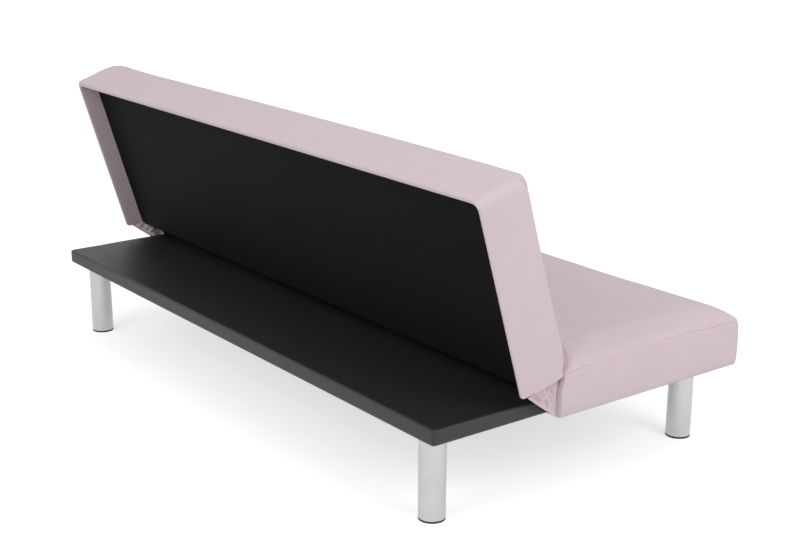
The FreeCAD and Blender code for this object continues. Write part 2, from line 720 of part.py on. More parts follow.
def legs():
    caps, bolts, tee_nuts, glides = [], [], [], []
    plate_z = ("leg_height - cap_thickness", "leg_height")
    ends = (("front", FRONT_LEG_Y, f"{FLOOR} + leg_block_height"),
            ("rear", REAR_LEG_Y, f"{PLATFORM_BOARD_Z[0]} - tee_nut_flange"))
    for end, y, block_top in ends:
        for name, sign in SIDES:
            at = f"{end}_{name}"
            centre = (f"{sign} * ({LEG_X})", y)
            outer = rod(f"leg_outer_{at}", "z", centre, ("glide_height", plate_z[0]), "leg_diameter / 2")
            inner = rod(f"leg_inner_{at}", "z", centre, ("glide_height", plate_z[0]),
                        "leg_diameter / 2 - leg_wall")
            node(f"leg_tube_{at}", cut(f"leg_tube_{at}", outer, inner))
            plate = rod(f"leg_cap_{at}", "z", centre, plate_z, "leg_diameter / 2")
            hole = rod(f"leg_cap_hole_{at}", "z", centre, plate_z, "leg_bolt_radius + thread_play")
            caps.append(cut(f"leg_cap_{at}", plate, hole))
            shank = rod(f"leg_bolt_shank_{at}", "z", centre, (plate_z[0], f"{block_top} - bolt_end_gap"),
                        "leg_bolt_radius")
            head = hexagon(f"leg_bolt_head_{at}", "z", centre, (f"{plate_z[0]} - leg_bolt_head", plate_z[0]),
                           "leg_bolt_head_radius")
            bolts.append(fuse(f"leg_bolt_{at}", shank, head))
            barrel = rod(f"tee_nut_barrel_{at}", "z", centre, (f"{block_top} - tee_nut_barrel", block_top),
                         "tee_nut_radius")
            flange = rod(f"tee_nut_flange_{at}", "z", centre, span(block_top, "tee_nut_flange"),
                         "tee_nut_flange_radius")
            bore = rod(f"tee_nut_bore_{at}", "z", centre, ("leg_height", f"{block_top} + tee_nut_barrel"),
                       "tee_nut_bore")
            tee_nuts.append(cut(f"tee_nut_{at}", fuse(f"tee_nut_blank_{at}", barrel, flange), bore))
            foot = rod(f"glide_foot_{at}", "z", centre, ("0", "glide_height"), "leg_diameter / 2")
            plug = rod(f"glide_plug_{at}", "z", centre, span("glide_height", "glide_plug"),
                       "leg_diameter / 2 - leg_wall - thread_play")
            glides.append(fuse(f"glide_{at}", foot, plug))
    node("leg_cap_plates", group("leg_caps", caps))
    node("leg_bolts", group("leg_bolt_row", bolts))
    node("leg_tee_nuts", group("leg_tee_nut_row", tee_nuts))
    node("leg_glides", group("leg_glide_row", glides))


# Hinge plates, as sketches on the hinge line: y runs back and z up, from the pivot

def plate(label, thickness):
    body = doc.addObject("PartDesign::Body", label)
    plane = next(item for item in body.Origin.OriginFeatures if item.Role == "YZ_Plane")
    return body, plane, thickness


def pad_link(work, name, start, end):
    """Adds a link between two round ends to a plate; each end is its y, z and radius."""
    body, plane, thickness = work
    sketch = body.newObject("Sketcher::SketchObject", f"{body.Name}_{name}")
    sketch.AttachmentSupport = (plane, [""])
    sketch.MapMode = "FlatFace"
    (ya, za, ra), (yb, zb, rb) = [[size(text) for text in finish] for finish in (start, end)]
    gap = math.hypot(yb - ya, zb - za)
    heading = math.atan2(zb - za, yb - ya)
    lean = math.acos((ra - rb) / gap)
    sides = [heading + lean, heading - lean]
    points = [[FreeCAD.Vector(y + r * math.cos(way), z + r * math.sin(way), 0) for way in sides]
              for y, z, r in ((ya, za, ra), (yb, zb, rb))]
    upright = FreeCAD.Vector(0, 0, 1)

    def round_end(y, z, radius, first, last):
        circle = Part.Circle(FreeCAD.Vector(y, z, 0), upright, radius)
        while last < first:
            last += 2 * math.pi
        return sketch.addGeometry(Part.ArcOfCircle(circle, first, last), False)

    first_arc = round_end(ya, za, ra, sides[0], sides[1])
    lower = sketch.addGeometry(Part.LineSegment(points[0][1], points[1][1]), False)
    second_arc = round_end(yb, zb, rb, sides[1], sides[0])
    upper = sketch.addGeometry(Part.LineSegment(points[1][0], points[0][0]), False)
    for before, after in ((first_arc, lower), (lower, second_arc), (second_arc, upper), (upper, first_arc)):
        sketch.addConstraint(Sketcher.Constraint("Tangent", before, 2, after, 1))
    for geometry, finish in ((first_arc, start), (second_arc, end)):
        hold_circle(sketch, geometry, finish)
    grow = body.newObject("PartDesign::Pad", f"{body.Name}_{name}_pad")
    grow.Profile = sketch
    grow.setExpression("Length", formula(thickness))
    doc.recompute()
    return grow


def hold_circle(sketch, geometry, finish):
    """Holds an arc's or circle's radius and centre to the sheet."""
    rules = (("Radius", (geometry,), finish[2]),
             ("DistanceX", (-1, 1, geometry, 3), finish[0]),
             ("DistanceY", (-1, 1, geometry, 3), finish[1]))
    for kind, place, text in rules:
        number = sketch.addConstraint(Sketcher.Constraint(kind, *place, size(text)))
        sketch.setExpression(f"Constraints[{number}]", formula(text))


def drill(work, name, *holes):
    """Round holes right through a plate; each is its y, z and radius."""
    body, plane, thickness = work
    sketch = body.newObject("Sketcher::SketchObject", f"{body.Name}_{name}")
    sketch.AttachmentSupport = (plane, [""])
    sketch.MapMode = "FlatFace"
    for hole in holes:
        y, z, radius = (size(text) for text in hole)
        circle = Part.Circle(FreeCAD.Vector(y, z, 0), FreeCAD.Vector(0, 0, 1), radius)
        hold_circle(sketch, sketch.addGeometry(circle, False), hole)
    before = body.Tip.Shape.Volume
    bore = body.newObject("PartDesign::Pocket", f"{body.Name}_{name}_pocket")
    bore.Profile = sketch
    bore.Type = "ThroughAll"
    bore.Reversed = True
    doc.recompute()
    if bore.Shape.Volume >= before:
        raise ValueError(f"{body.Name}: the holes cut nothing")


def place_plate(body, sign, low, high, pivot=(HINGE_Y, "hinge_height"), angle="0"):
    """Stands a plate between two planes at one end of the sofa, turned about its pivot."""
    on_hinge(body, angle)
    for axis, place in zip("xyz", (to_side(sign, low, high)[0], *pivot)):
        body.setExpression(f"Placement.Base.{axis}", formula(place))
    return body


BOSS = ("0", "0", "arm_boss_radius")
PIVOT_BORE = ("0", "0", "rivet_radius + bore_clearance")


def seat_arm(name, sign):
    work = plate(f"hinge_seat_arm_{name}_plate", "arm_thickness")
    knee = ("seat_knee_y", "seat_knee_z", "seat_knee_radius")
    tail = ("seat_tail_y", "seat_tail_z", "tail_radius")
    pad_link(work, "boss", BOSS, knee)
    pad_link(work, "tail", knee, tail)
    drill(work, "holes", ("0", "0", "rivet_radius"), ("pawl_pivot_y", "pawl_pivot_z", "pawl_pin_radius"),
          *[(*place, "screw_radius") for place in SEAT_SCREWS])
    node(f"hinge_seat_arm_{name}", place_plate(work[0], sign, ARM, f"{ARM} + arm_thickness"))


def back_arm(name, sign):
    work = plate(f"hinge_back_arm_{name}_plate", "arm_thickness")
    knee = ("back_knee_y", "back_arm_z", "tail_radius")
    pad_link(work, "boss", BOSS, knee)
    pad_link(work, "tail", knee, ("back_tail_y", "back_arm_z", "tail_radius"))
    drill(work, "holes", PIVOT_BORE, *[(*place, "screw_radius") for place in BACK_SCREWS])
    node(f"hinge_back_arm_{name}", place_plate(work[0], sign, BACK_ARM, BLOCK, angle="90 - back_tilt"))


def pawl(name, sign):
    """The pawl is made about its own pin, nose in a notch, then lifted just clear of the ratchet."""
    work = plate(f"pawl_{name}_plate", "pawl_end - ratchet_start")
    boss = ("0", "0", "pawl_boss_radius")
    elbow = ("pawl_elbow_y", "pawl_elbow_z", "pawl_elbow_radius")
    pad_link(work, "lever", boss, elbow)
    pad_link(work, "nose", elbow, ("pawl_nose_y", "pawl_nose_z", "pawl_nose_radius"))
    drill(work, "bore", ("0", "0", "pawl_pin_radius + bore_clearance"))
    node(f"pawl_{name}", place_plate(work[0], sign, f"{ARM} + ratchet_start", f"{ARM} + pawl_end",
                                     from_hinge("pawl_pivot_y", "pawl_pivot_z"), "pawl_lift"))


def ratchet(name, sign):
    """A disc with a notch for sitting, widened for release, one for lounging and one for lying flat."""
    x = to_side(sign, f"{ARM} + ratchet_start", f"{ARM} + ratchet_end")
    disc = rod(f"ratchet_disc_{name}", "x", ("0", "0"), x, "ratchet_radius")
    bore = rod(f"ratchet_bore_{name}", "x", ("0", "0"), x, "rivet_radius + bore_clearance")
    angles = ["notch_angle - release_angle"] + [f"notch_angle + {step} * notch_step" for step in (0, 1, 2)]
    notches = []
    for number, angle in enumerate(angles):
        tool = box(f"notch_{name}_{number}", x, ("notch_root", "ratchet_radius + past"),
                   ("-notch_width / 2", "notch_width / 2"))
        turned = group(f"notch_turned_{name}_{number}", [tool])
        turned.Placement = FreeCAD.Placement(FreeCAD.Vector(), FreeCAD.Rotation(FreeCAD.Vector(1, 0, 0), 30))
        turned.setExpression("Placement.Rotation.Angle", formula(angle))
        notches.append(turned)
    return cut(f"ratchet_{name}", disc, bore, *notches)


def screw(label, sign, place, head_at, way):
    """A screw along X: its head lies on the plane head_at, inwards (-1) or outwards (1) of it."""
    tip = f"{head_at} - ({way}) * screw_length"
    top = f"{head_at} + ({way}) * screw_head"
    shank_run = (tip, head_at) if way > 0 else (head_at, tip)
    head_run = (head_at, top) if way > 0 else (top, head_at)
    shank = rod(f"{label}_shank", "x", place, to_side(sign, *shank_run), "screw_radius")
    head = rod(f"{label}_head", "x", place, to_side(sign, *head_run), "screw_head_radius")
    return fuse(label, shank, head)


def hinges():
    rivets, pins, strips, seat_screws = [], [], [], []
    middle = (HINGE_Y, "hinge_height")
    pawl_middle = from_hinge("pawl_pivot_y", "pawl_pivot_z")
    for name, sign in SIDES:
        seat_arm(name, sign)
        back_arm(name, sign)
        pawl(name, sign)
        outer_face = f"{BLOCK} + rivet_end_gap"
        shank = rod(f"rivet_shank_{name}", "x", middle, to_side(sign, ARM, outer_face), "rivet_radius")
        inner = rod(f"rivet_inner_{name}", "x", middle, to_side(sign, f"{ARM} - rivet_head", ARM),
                    "rivet_head_radius")
        outer_run = to_side(sign, *span(outer_face, "rivet_head - rivet_end_gap"))
        outer = rod(f"rivet_outer_{name}", "x", middle, outer_run, "rivet_head_radius")
        rivets.append(fuse(f"rivet_{name}", shank, inner, outer))
        pins.append(rod(f"pawl_pin_{name}", "x", pawl_middle, to_side(sign, ARM, f"{ARM} + pawl_end"),
                        "pawl_pin_radius"))
        strips.append(box(f"pawl_strip_{name}", to_side(sign, f"{ARM} + arm_thickness", f"{ARM} + pawl_end"),
                          span(f"{pawl_middle[0]} - pawl_strip_back", "pawl_strip"),
                          span(f"{pawl_middle[1]} - pawl_strip_low", "pawl_strip_length")))
        for number, place in enumerate(SEAT_SCREWS):
            seat_screws.append(screw(f"seat_hinge_screw_{name}_{number}", sign, from_hinge(*place),
                                     f"{ARM} + arm_thickness", 1))
    node("hinge_rivets", group("rivet_pair", rivets))
    node("pawl_pins", group("pawl_pin_pair", pins))
    node("pawl_springs", group("pawl_strip_pair", strips))
    node("seat_hinge_screws", group("seat_hinge_screw_row", seat_screws))


# Backrest, made lying flat with the hinge line at the origin

BACK_RAIL_Z = ("backing_plane", "back_rail_front")
BACK_NEAR = "-back_below_hinge + cover"
BACK_FAR = f"{BACK_TOP} - cover"
BOTTOM_RAIL_Y = span(BACK_NEAR, "rail")
TOP_RAIL_Y = (f"{BACK_FAR} - tray_board - rail", f"{BACK_FAR} - tray_board")
BETWEEN_RAILS_Y = (BOTTOM_RAIL_Y[1], TOP_RAIL_Y[0])
BOARD_Z = ("-back_rear + cover", "back_rail_front")


def backrest():
    inside = back_pad("back_inside", size("cover"))
    inner_x = (minus("back_inner_half_length"), "back_inner_half_length")
    side_rails, blocks, screws, ratchets = [], [], [], []
    for name, sign in SIDES:
        board = box(f"back_side_board_{name}_blank", to_side(sign, TRAY_BOARD_INSIDE, SIDE),
                    (BACK_NEAR, BACK_FAR), BOARD_Z)
        back_node(f"back_side_board_{name}", shared(f"back_side_board_{name}_shaped", board, inside))
        side_rails.append(box(f"back_side_rail_{name}",
                              to_side(sign, "back_inner_half_length - rail", "back_inner_half_length"),
                              BETWEEN_RAILS_Y, BACK_RAIL_Z))
        block = box(f"hinge_block_{name}", to_side(sign, BLOCK, TRAY_BOARD_INSIDE),
                    span(BACK_NEAR, "hinge_block_length"), BACK_RAIL_Z)
        hole_x = to_side(sign, BLOCK, f"{BLOCK} + screw_length")
        holes = [rod(f"hinge_block_hole_{name}_{number}", "x", place, hole_x, "screw_radius")
                 for number, place in enumerate(BACK_SCREWS)]
        blocks.append(cut(f"hinge_block_{name}", block, *holes))
        for place in ("middle_spacer_place", "upper_spacer_place"):
            spacer_x = to_side(sign, "back_inner_half_length", TRAY_BOARD_INSIDE)
            spacer_y = span(place, "spacer_length")
            blocks.append(box(f"back_spacer_{name}_{place}", spacer_x, spacer_y, BACK_RAIL_Z))
        for number, place in enumerate(BACK_SCREWS):
            screws.append(screw(f"back_hinge_screw_{name}_{number}", sign, place, BACK_ARM, -1))
        ratchets.append(ratchet(name, sign))
    back_node("back_side_rails", *side_rails)
    back_node("back_blocks", *blocks)
    back_node("back_hinge_screws", *screws)
    back_node("hinge_ratchets", *ratchets)
    top = box("back_top_board_blank", (minus(TRAY_BOARD_INSIDE), TRAY_BOARD_INSIDE),
              (f"{BACK_FAR} - tray_board", BACK_FAR), BOARD_Z)
    back_node("back_top_board", shared("back_top_board_shaped", top, inside))
    back_node("back_bottom_rail", box("back_bottom_rail_flat", inner_x, BOTTOM_RAIL_Y, BACK_RAIL_Z))
    back_node("back_top_rail", box("back_top_rail_flat", inner_x, TOP_RAIL_Y, BACK_RAIL_Z))
    stiles = [box(f"back_stile_{number}", span(f"{number} * bearer_spacing - rail / 2", "rail"),
                  BETWEEN_RAILS_Y, ("backing_plane", "stile_front")) for number in (-1, 0, 1)]
    back_node("back_stiles", *stiles)
    springs, clips = springs_and_clips("back", f"{BACK_NEAR} + rail / 2",
                                       f"{BACK_FAR} - tray_board - rail / 2", "back_rail_front")
    back_node("back_springs", *springs)
    back_node("back_spring_clips", *clips)
    back_upholstery(inside)


def back_upholstery(inside):
    wide = (minus(HALF), HALF)
    block = box("back_foam_block", wide, ("-back_below_hinge", BACK_TOP), ("back_foam_rear", "back_front"))
    below = "-back_below_hinge - past"
    nose = "back_nose_radius + past"
    foam_slots = hinge_slots("back_foam", (below, "back_slot_depth"), ("back_foam_rear - past", nose))
    back_node("back_foam", cut("back_foam", shared("back_foam_shaped", inside, block), *foam_slots))
    behind = ("-back_rear - past", "backing_plane")
    lined = box("recess_lined", (minus(TRAY_BOARD_INSIDE), TRAY_BOARD_INSIDE),
                (below, f"{BACK_FAR} - tray_board"), behind)
    recess = box("recess", (minus(RIM_INSIDE), RIM_INSIDE), (below, RIM_TOP), behind)
    stuffing = cut("back_stuffing", inside, lined)
    cover_slot_y = (below, "ratchet_radius")
    slots = hinge_slots("back_cover", cover_slot_y, ("backing_plane - past", nose))
    shell = cut("back_cover", back_pad("back_outside", 0), stuffing, recess, *slots)
    back_node("back_cover", shell)
    panel = box("backing_panel", (minus(RIM_INSIDE), RIM_INSIDE), ("-back_below_hinge", RIM_TOP),
                ("backing_plane - cover", "backing_plane"))
    panel_slots = hinge_slots("backing", cover_slot_y,
                              ("backing_plane - cover - past", "backing_plane + past"))
    back_node("back_backing", cut("back_backing", panel, *panel_slots))


# Gussets: loose fabric between the seat's lower rear corner and the backrest's lower edge

def gussets():
    tilt = math.radians(size("back_tilt"))
    drop = size("back_below_hinge + gusset_drop")

    def below_edge(depth):
        """A point just under the backrest's lower edge, so far behind the hinge line."""
        y = size(HINGE_Y) + depth * math.cos(tilt) - drop * math.sin(tilt)
        return y, size("hinge_height") - depth * math.sin(tilt) - drop * math.cos(tilt)

    rear = size(f"{SEAT_REAR} + gusset_gap")
    low = size("leg_height + gusset_hem")
    outline = [
        (rear, low),
        (rear + size("gusset_foot"), low),
        below_edge(size("back_rear - gusset_end")),
        below_edge(size("gusset_start")),
        (rear, size("hinge_height - seat_groove_radius")),
    ]
    for name, sign in SIDES:
        x = sign * (size(HALF) - size("gusset_inset"))
        points = [(x, *place) for place in outline]
        edges = [line(start, end) for start, end in zip(points, points[1:] + points[:1])]
        shape = face_of(edges).extrude(FreeCAD.Vector(-sign * size("gusset"), 0, 0))
        node(f"gusset_{name}", solid(f"gusset_{name}_cloth", shape))


seat_inside = seat_frame()
seat_upholstery(seat_inside)
platform()
legs()
hinges()
backrest()
gussets()
doc.recompute()

# Every object must be sound before anything is written

for item in doc.Objects:
    if "Invalid" in item.State or "Error" in item.State:
        raise ValueError(f"{item.Label} failed: {item.State}")
for label, piece in NODES.items():
    if piece.Shape.isNull() or not piece.Shape.isValid() or not piece.Shape.Solids:
        raise ValueError(f"{label} has no sound shape")
for label, piece in NODES.items():
    piece.Shape.exportStep(f"parts/{label}.step")
print(f"{len(NODES)} nodes, {sum(len(piece.Shape.Solids) for piece in NODES.values())} solids")
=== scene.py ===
import json
import math

import bmesh
import bpy
import numpy as np
from mathutils import Matrix, Vector, noise


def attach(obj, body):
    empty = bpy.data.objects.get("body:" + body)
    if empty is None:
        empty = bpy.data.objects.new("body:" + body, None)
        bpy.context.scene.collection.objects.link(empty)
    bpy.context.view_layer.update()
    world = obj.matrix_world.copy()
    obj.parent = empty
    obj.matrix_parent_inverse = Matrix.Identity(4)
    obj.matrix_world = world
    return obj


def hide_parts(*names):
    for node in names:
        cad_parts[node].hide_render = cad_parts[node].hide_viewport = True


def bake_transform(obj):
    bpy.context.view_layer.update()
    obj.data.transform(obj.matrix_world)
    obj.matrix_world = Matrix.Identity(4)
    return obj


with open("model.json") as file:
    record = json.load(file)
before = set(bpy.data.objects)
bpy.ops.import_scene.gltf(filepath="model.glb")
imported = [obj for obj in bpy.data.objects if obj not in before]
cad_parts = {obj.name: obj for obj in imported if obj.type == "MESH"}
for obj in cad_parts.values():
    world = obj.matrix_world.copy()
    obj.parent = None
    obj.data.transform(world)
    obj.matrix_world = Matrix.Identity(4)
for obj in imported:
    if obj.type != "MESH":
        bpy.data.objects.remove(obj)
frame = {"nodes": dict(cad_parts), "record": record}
bpy.context.view_layer.update()
scene = bpy.context.scene
scene.view_settings.view_transform = "Standard"


# The studio: a white floor and backdrop, two large soft boxes and an even white surround.
# The camera stands behind the sofa's left end and a little above it.

def to_world(azimuth, height, roll):
    """The camera's three axes, looking from that way round the sofa and that far above the floor."""
    a, e, r = (math.radians(angle) for angle in (azimuth, height, roll))
    back = Vector((math.sin(a) * math.cos(e), -math.cos(a) * math.cos(e), math.sin(e)))
    right = (-back).cross(Vector((0, 0, 1))).normalized()
    up = right.cross(-back)
    turned = math.cos(r) * right + math.sin(r) * up, math.cos(r) * up - math.sin(r) * right, back
    return Matrix(turned).transposed().to_4x4()


camera = bpy.data.objects.new("camera", bpy.data.cameras.new("camera"))
scene.collection.objects.link(camera)
camera.matrix_world = Matrix.Translation((-2.9886, 2.1562, 1.3863)) @ to_world(232.68, 17.13, 0.25)
camera.data.lens = 65.53
camera.data.shift_x = -0.0003
camera.data.shift_y = 0.0098
scene.camera = camera


class Wire:
    """A socket of a node tree. Arithmetic on it adds Math nodes, so shader maths is plain Python."""

    def __init__(self, tree, socket):
        self.tree, self.socket = tree, socket

    def maths(self, operation, *others):
        node = self.tree.nodes.new("ShaderNodeMath")
        node.operation = operation
        for socket, value in zip(node.inputs, (self, *others)):
            feed(self.tree, socket, value)
        return Wire(self.tree, node.outputs[0])

    def __add__(self, other):
        return self.maths("ADD", other)

    def __sub__(self, other):
        return self.maths("SUBTRACT", other)

    def __mul__(self, other):
        return self.maths("MULTIPLY", other)

    __radd__ = __add__
    __rmul__ = __mul__


def feed(tree, socket, value):
    """Links a wire to a socket, or sets the socket's own value."""
    if isinstance(value, Wire):
        tree.links.new(value.socket, socket)
    elif socket.type == "RGBA":
        socket.default_value = (*value, 1)
    else:
        socket.default_value = value


class Finish:
    """A surface finish: a material, or the world, and the nodes that make it up."""

    def __init__(self, name, owner=None):
        self.owner = owner or bpy.data.materials.new(name)
        self.owner.use_nodes = True
        self.tree = self.owner.node_tree
        self.tree.nodes.clear()

    def add(self, kind, settings=None, inputs=None, output=0):
        """Adds a node, with its settings first and then its sockets, and gives one of its outputs."""
        node = self.tree.nodes.new("ShaderNode" + kind)
        for name, value in (settings or {}).items():
            setattr(node, name, value)
        for name, value in (inputs or {}).items():
            feed(self.tree, node.inputs[name], value)
        return Wire(self.tree, node.outputs[output]) if node.outputs else None

    def mixed(self, share, first, second):
        """The first colour, turning into the second as the share goes from 0 to 1."""
        return self.add("Mix", {"data_type": "RGBA"}, {0: share, 6: first, 7: second}, 2)

    def grain(self, place, scale, detail=2, rough=0.5, distortion=0.0):
        """Noise at that place, from 0 to 1."""
        return self.add("TexNoise", None, {"Vector": place, "Scale": scale, "Detail": detail,
                                           "Roughness": rough, "Distortion": distortion})

    def stretched(self, place, scale):
        """A place with its three measures scaled."""
        return self.add("VectorMath", {"operation": "MULTIPLY"}, {0: place, 1: scale})

    def bumps(self, height, distance, strength=1.0, under=None):
        """The surface's direction, with that height worked into it, in metres."""
        inputs = {"Height": height, "Distance": distance, "Strength": strength}
        if under:
            inputs["Normal"] = under
        return self.add("Bump", None, inputs)

    def surface(self, **sockets):
        """Ends the finish with one surface shader."""
        inputs = {name.replace("_", " "): value for name, value in sockets.items()}
        self.add("OutputMaterial", None, {"Surface": self.add("BsdfPrincipled", None, inputs)})
        return self.owner


surround = Finish("surround", bpy.data.worlds.new("surround"))
scene.world = surround.owner
seen = surround.add("LightPath")
mirrored = surround.add("LightPath", output="Is Glossy Ray")
through = surround.add("LightPath", output="Is Transmission Ray")
backdrop = seen.maths("MAXIMUM", mirrored).maths("MAXIMUM", through)
AMBIENT = 0.62
surround.add("OutputWorld", None, {"Surface": surround.add("Background", None, {
    "Color": (1, 1, 1), "Strength": AMBIENT + (1 - AMBIENT) * backdrop})})


def soft_box(name, place, aim, size, power):
    """A large square lamp that looks at a point."""
    lamp = bpy.data.objects.new(name, bpy.data.lights.new(name, "AREA"))
    lamp.data.size = size
    lamp.data.energy = power
    lamp.location = place
    lamp.rotation_euler = (Vector(aim) - Vector(place)).to_track_quat("-Z", "Y").to_euler()
    scene.collection.objects.link(lamp)


soft_box("key_lamp", (-3.6, -0.6, 2.3), (0, 0, 0.3), 2.0, 44)
soft_box("fill_lamp", (-0.6, 4.0, 2.6), (0, 0, 0.3), 2.6, 50)

FLOOR_REACH = 30
floor_corners = [(x * FLOOR_REACH, y * FLOOR_REACH, 0) for x, y in ((-1, -1), (1, -1), (1, 1), (-1, 1))]
floor_mesh = bpy.data.meshes.new("floor")
floor_mesh.from_pydata(floor_corners, [], [(0, 1, 2, 3)])
floor = bpy.data.objects.new("floor", floor_mesh)
scene.collection.objects.link(floor)
white = Finish("white_floor")
shown = white.add("LightPath").maths("MAXIMUM", white.add("LightPath", output="Is Glossy Ray"))
shadowed = white.add("BsdfDiffuse", None, {"Color": (0.72, 0.72, 0.72)})
glow = white.add("Emission", None, {"Color": (1, 1, 1), "Strength": shown * 0.62})
white.add("OutputMaterial", None, {"Surface": white.add("AddShader", None, {0: shadowed, 1: glow})})
floor_mesh.materials.append(white.owner)


# The wooden frames under the cloth: planed pine rails, blocks and stiles, stapled and glued, with
# plywood end boards. None of it shows once the sofa is covered.

def dress(finish, *slots):
    """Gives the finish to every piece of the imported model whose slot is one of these."""
    for part in frame["record"]["subparts"]:
        if part["material_slot"] in slots:
            mesh = frame["nodes"][part["node"]].data
            mesh.materials.clear()
            mesh.materials.append(finish)


pine = Finish("planed_pine")
here = pine.add("TexCoord", output="Object")
rings = pine.grain(pine.stretched(here, (3, 40, 40)), 3, 4, 0.6, 0.4)
fibre = pine.grain(pine.stretched(here, (6, 300, 300)), 4, 3)
wood = pine.mixed(rings, (0.72, 0.52, 0.30), (0.56, 0.36, 0.18))
dress(pine.surface(Base_Color=pine.mixed(fibre * 0.3, wood, (0.45, 0.28, 0.14)),
                   Roughness=0.6 + 0.15 * fibre, Normal=pine.bumps(fibre, 0.0003)), "pine_frame")

ply = Finish("birch_plywood")
here = ply.add("TexCoord", output="Object")
sheets = ply.add("TexWave", {"bands_direction": "Z"}, {"Vector": here, "Scale": 110, "Distortion": 0.6})
fibre = ply.grain(ply.stretched(here, (5, 60, 5)), 12, 4)
birch = ply.mixed(fibre, (0.68, 0.52, 0.34), (0.58, 0.42, 0.26))
dress(ply.surface(Base_Color=ply.mixed(sheets * 0.25, birch, (0.40, 0.27, 0.16)),
                  Roughness=0.65 + 0.1 * fibre, Normal=ply.bumps(fibre, 0.0002)), "plywood")


# Springs and clips: zigzag springs of black-oiled wire in white plastic clips, and the flat strips
# that press the hinges' pawls.

wire = Finish("oiled_spring_wire")
here = wire.add("TexCoord", output="Object")
scale = wire.grain(here, 220, 3)
dress(wire.surface(Base_Color=wire.mixed(scale, (0.22, 0.22, 0.23), (0.38, 0.36, 0.34)), Metallic=0.9,
                   Roughness=0.32 + 0.2 * scale, Normal=wire.bumps(scale, 0.0001)), "spring_steel")

clip = Finish("clip_plastic")
here = clip.add("TexCoord", output="Object")
haze = clip.grain(here, 160, 2)
dress(clip.surface(Base_Color=clip.mixed(haze, (0.72, 0.72, 0.68), (0.80, 0.80, 0.77)),
                   Roughness=0.45 + 0.15 * haze, Normal=clip.bumps(haze, 0.0001)), "clip_plastic")


# Fittings: zinc-plated screws, bolts, tee nuts and brackets, and the black-painted plates and
# pawls of the click-clack hinge at each end.

zinc = Finish("zinc_plate")
here = zinc.add("TexCoord", output="Object")
spangle = zinc.add("TexVoronoi", None, {"Vector": here, "Scale": 260})
smear = zinc.grain(here, 90, 3)
dress(zinc.surface(Base_Color=zinc.mixed(smear, (0.50, 0.51, 0.50), (0.64, 0.63, 0.60)),
                   Metallic=1.0, Roughness=0.28 + 0.12 * spangle + 0.1 * smear,
                   Normal=zinc.bumps(spangle, 0.00008)), "zinc_steel")

painted = Finish("black_painted_steel")
here = painted.add("TexCoord", output="Object")
peel = painted.grain(here, 420, 2)
rubbed = painted.grain(here, 60, 4).maths("GREATER_THAN", 0.63)
dress(painted.surface(Base_Color=painted.mixed(rubbed * 0.5, (0.018, 0.018, 0.019), (0.16, 0.15, 0.14)),
                      Metallic=0.2 + 0.5 * rubbed, Roughness=0.38 + 0.15 * peel,
                      Normal=painted.bumps(peel, 0.00012)), "hinge_steel")


# Legs: round tubes, 60 mm across and 200 mm high, in a satin chrome finish, each bolted up into a
# corner of the frame and standing on a thin black plastic glide.

chrome = Finish("satin_chrome")
here = chrome.add("TexCoord", output="Object")
brushed = chrome.grain(chrome.stretched(here, (900, 900, 9)), 1, 3)
cloud = chrome.grain(here, 26, 3)
dress(chrome.surface(Base_Color=chrome.mixed(cloud, (0.47, 0.47, 0.49), (0.55, 0.55, 0.56)), Metallic=1.0,
                     Roughness=0.24 + 0.08 * brushed + 0.06 * cloud,
                     Normal=chrome.bumps(brushed, 0.00003)), "leg_chrome")

glide = Finish("glide_plastic")
here = glide.add("TexCoord", output="Object")
moulded = glide.grain(here, 500, 2)
scuffed = glide.grain(here, 45, 3)
dress(glide.surface(Base_Color=glide.mixed(scuffed, (0.016, 0.016, 0.016), (0.030, 0.030, 0.030)),
                    Roughness=0.5 + 0.2 * scuffed, Normal=glide.bumps(moulded, 0.0001)), "glide_plastic")


# The seat cushion: a slab of foam in its sewn top panel, crowned by about 40 mm over the seam that
# runs round it two thirds of the way up. It slopes down to the backrest at the rear.

def edge_marks(along, deep):
    """Where each point round a grid's edge lies in it, both ways from 0 to 1, in order."""
    near = [(u, 0) for u in along[:-1]]
    right = [(1, v) for v in deep[:-1]]
    far = [(u, 1) for u in along[:0:-1]]
    left = [(0, v) for v in deep[:0:-1]]
    return np.array(near + right + far + left, float)


def edge_of(grid):
    """The points round a grid's edge, in the order of edge_marks."""
    return np.concatenate([grid[0, :-1], grid[:-1, -1], grid[-1, :0:-1], grid[:0:-1, 0]])


def rounded(marks, low, high, radii):
    """Points round a rectangle with rounded corners, and the way out from each."""
    low, high = np.broadcast_to(low, marks.shape), np.broadcast_to(high, marks.shape)
    radius = np.where(marks[:, 1] < 0.5, *radii)[:, None]
    place = low + (high - low) * marks
    inner = np.clip(place, low + radius, high - radius)
    out = place - inner
    out = out / np.linalg.norm(out, axis=1)[:, None]
    return inner + out * radius, out


def filled(ring, along, deep):
    """A grid of points stretched inside a ring of them."""
    c, r = len(along) - 1, len(deep) - 1
    near, right = ring[:c + 1], ring[c:c + r + 1]
    far = ring[c + r:2 * c + r + 1][::-1]
    left = np.concatenate([ring[2 * c + r:], ring[:1]])[::-1]
    u, v = np.array(along)[None, :, None], np.array(deep)[:, None, None]
    straight = (1 - v) * near[None] + v * far[None] + (1 - u) * left[:, None] + u * right[:, None]
    corners = ((1 - u) * (1 - v) * near[0] + u * (1 - v) * near[-1]
               + (1 - u) * v * far[0] + u * v * far[-1])
    return straight - corners


def squares(index, cloth):
    """The faces of a grid of points, and the cloth's own measure at their corners."""
    turns = ((0, 0), (0, 1), (1, 1), (1, 0))
    rows, columns = index.shape[0] - 1, index.shape[1] - 1
    faces = np.stack([index[i:rows + i, j:columns + j] for i, j in turns], -1).reshape(-1, 4)
    measures = np.stack([cloth[i:rows + i, j:columns + j] for i, j in turns], -2).reshape(-1, 4, 2)
    return faces, measures


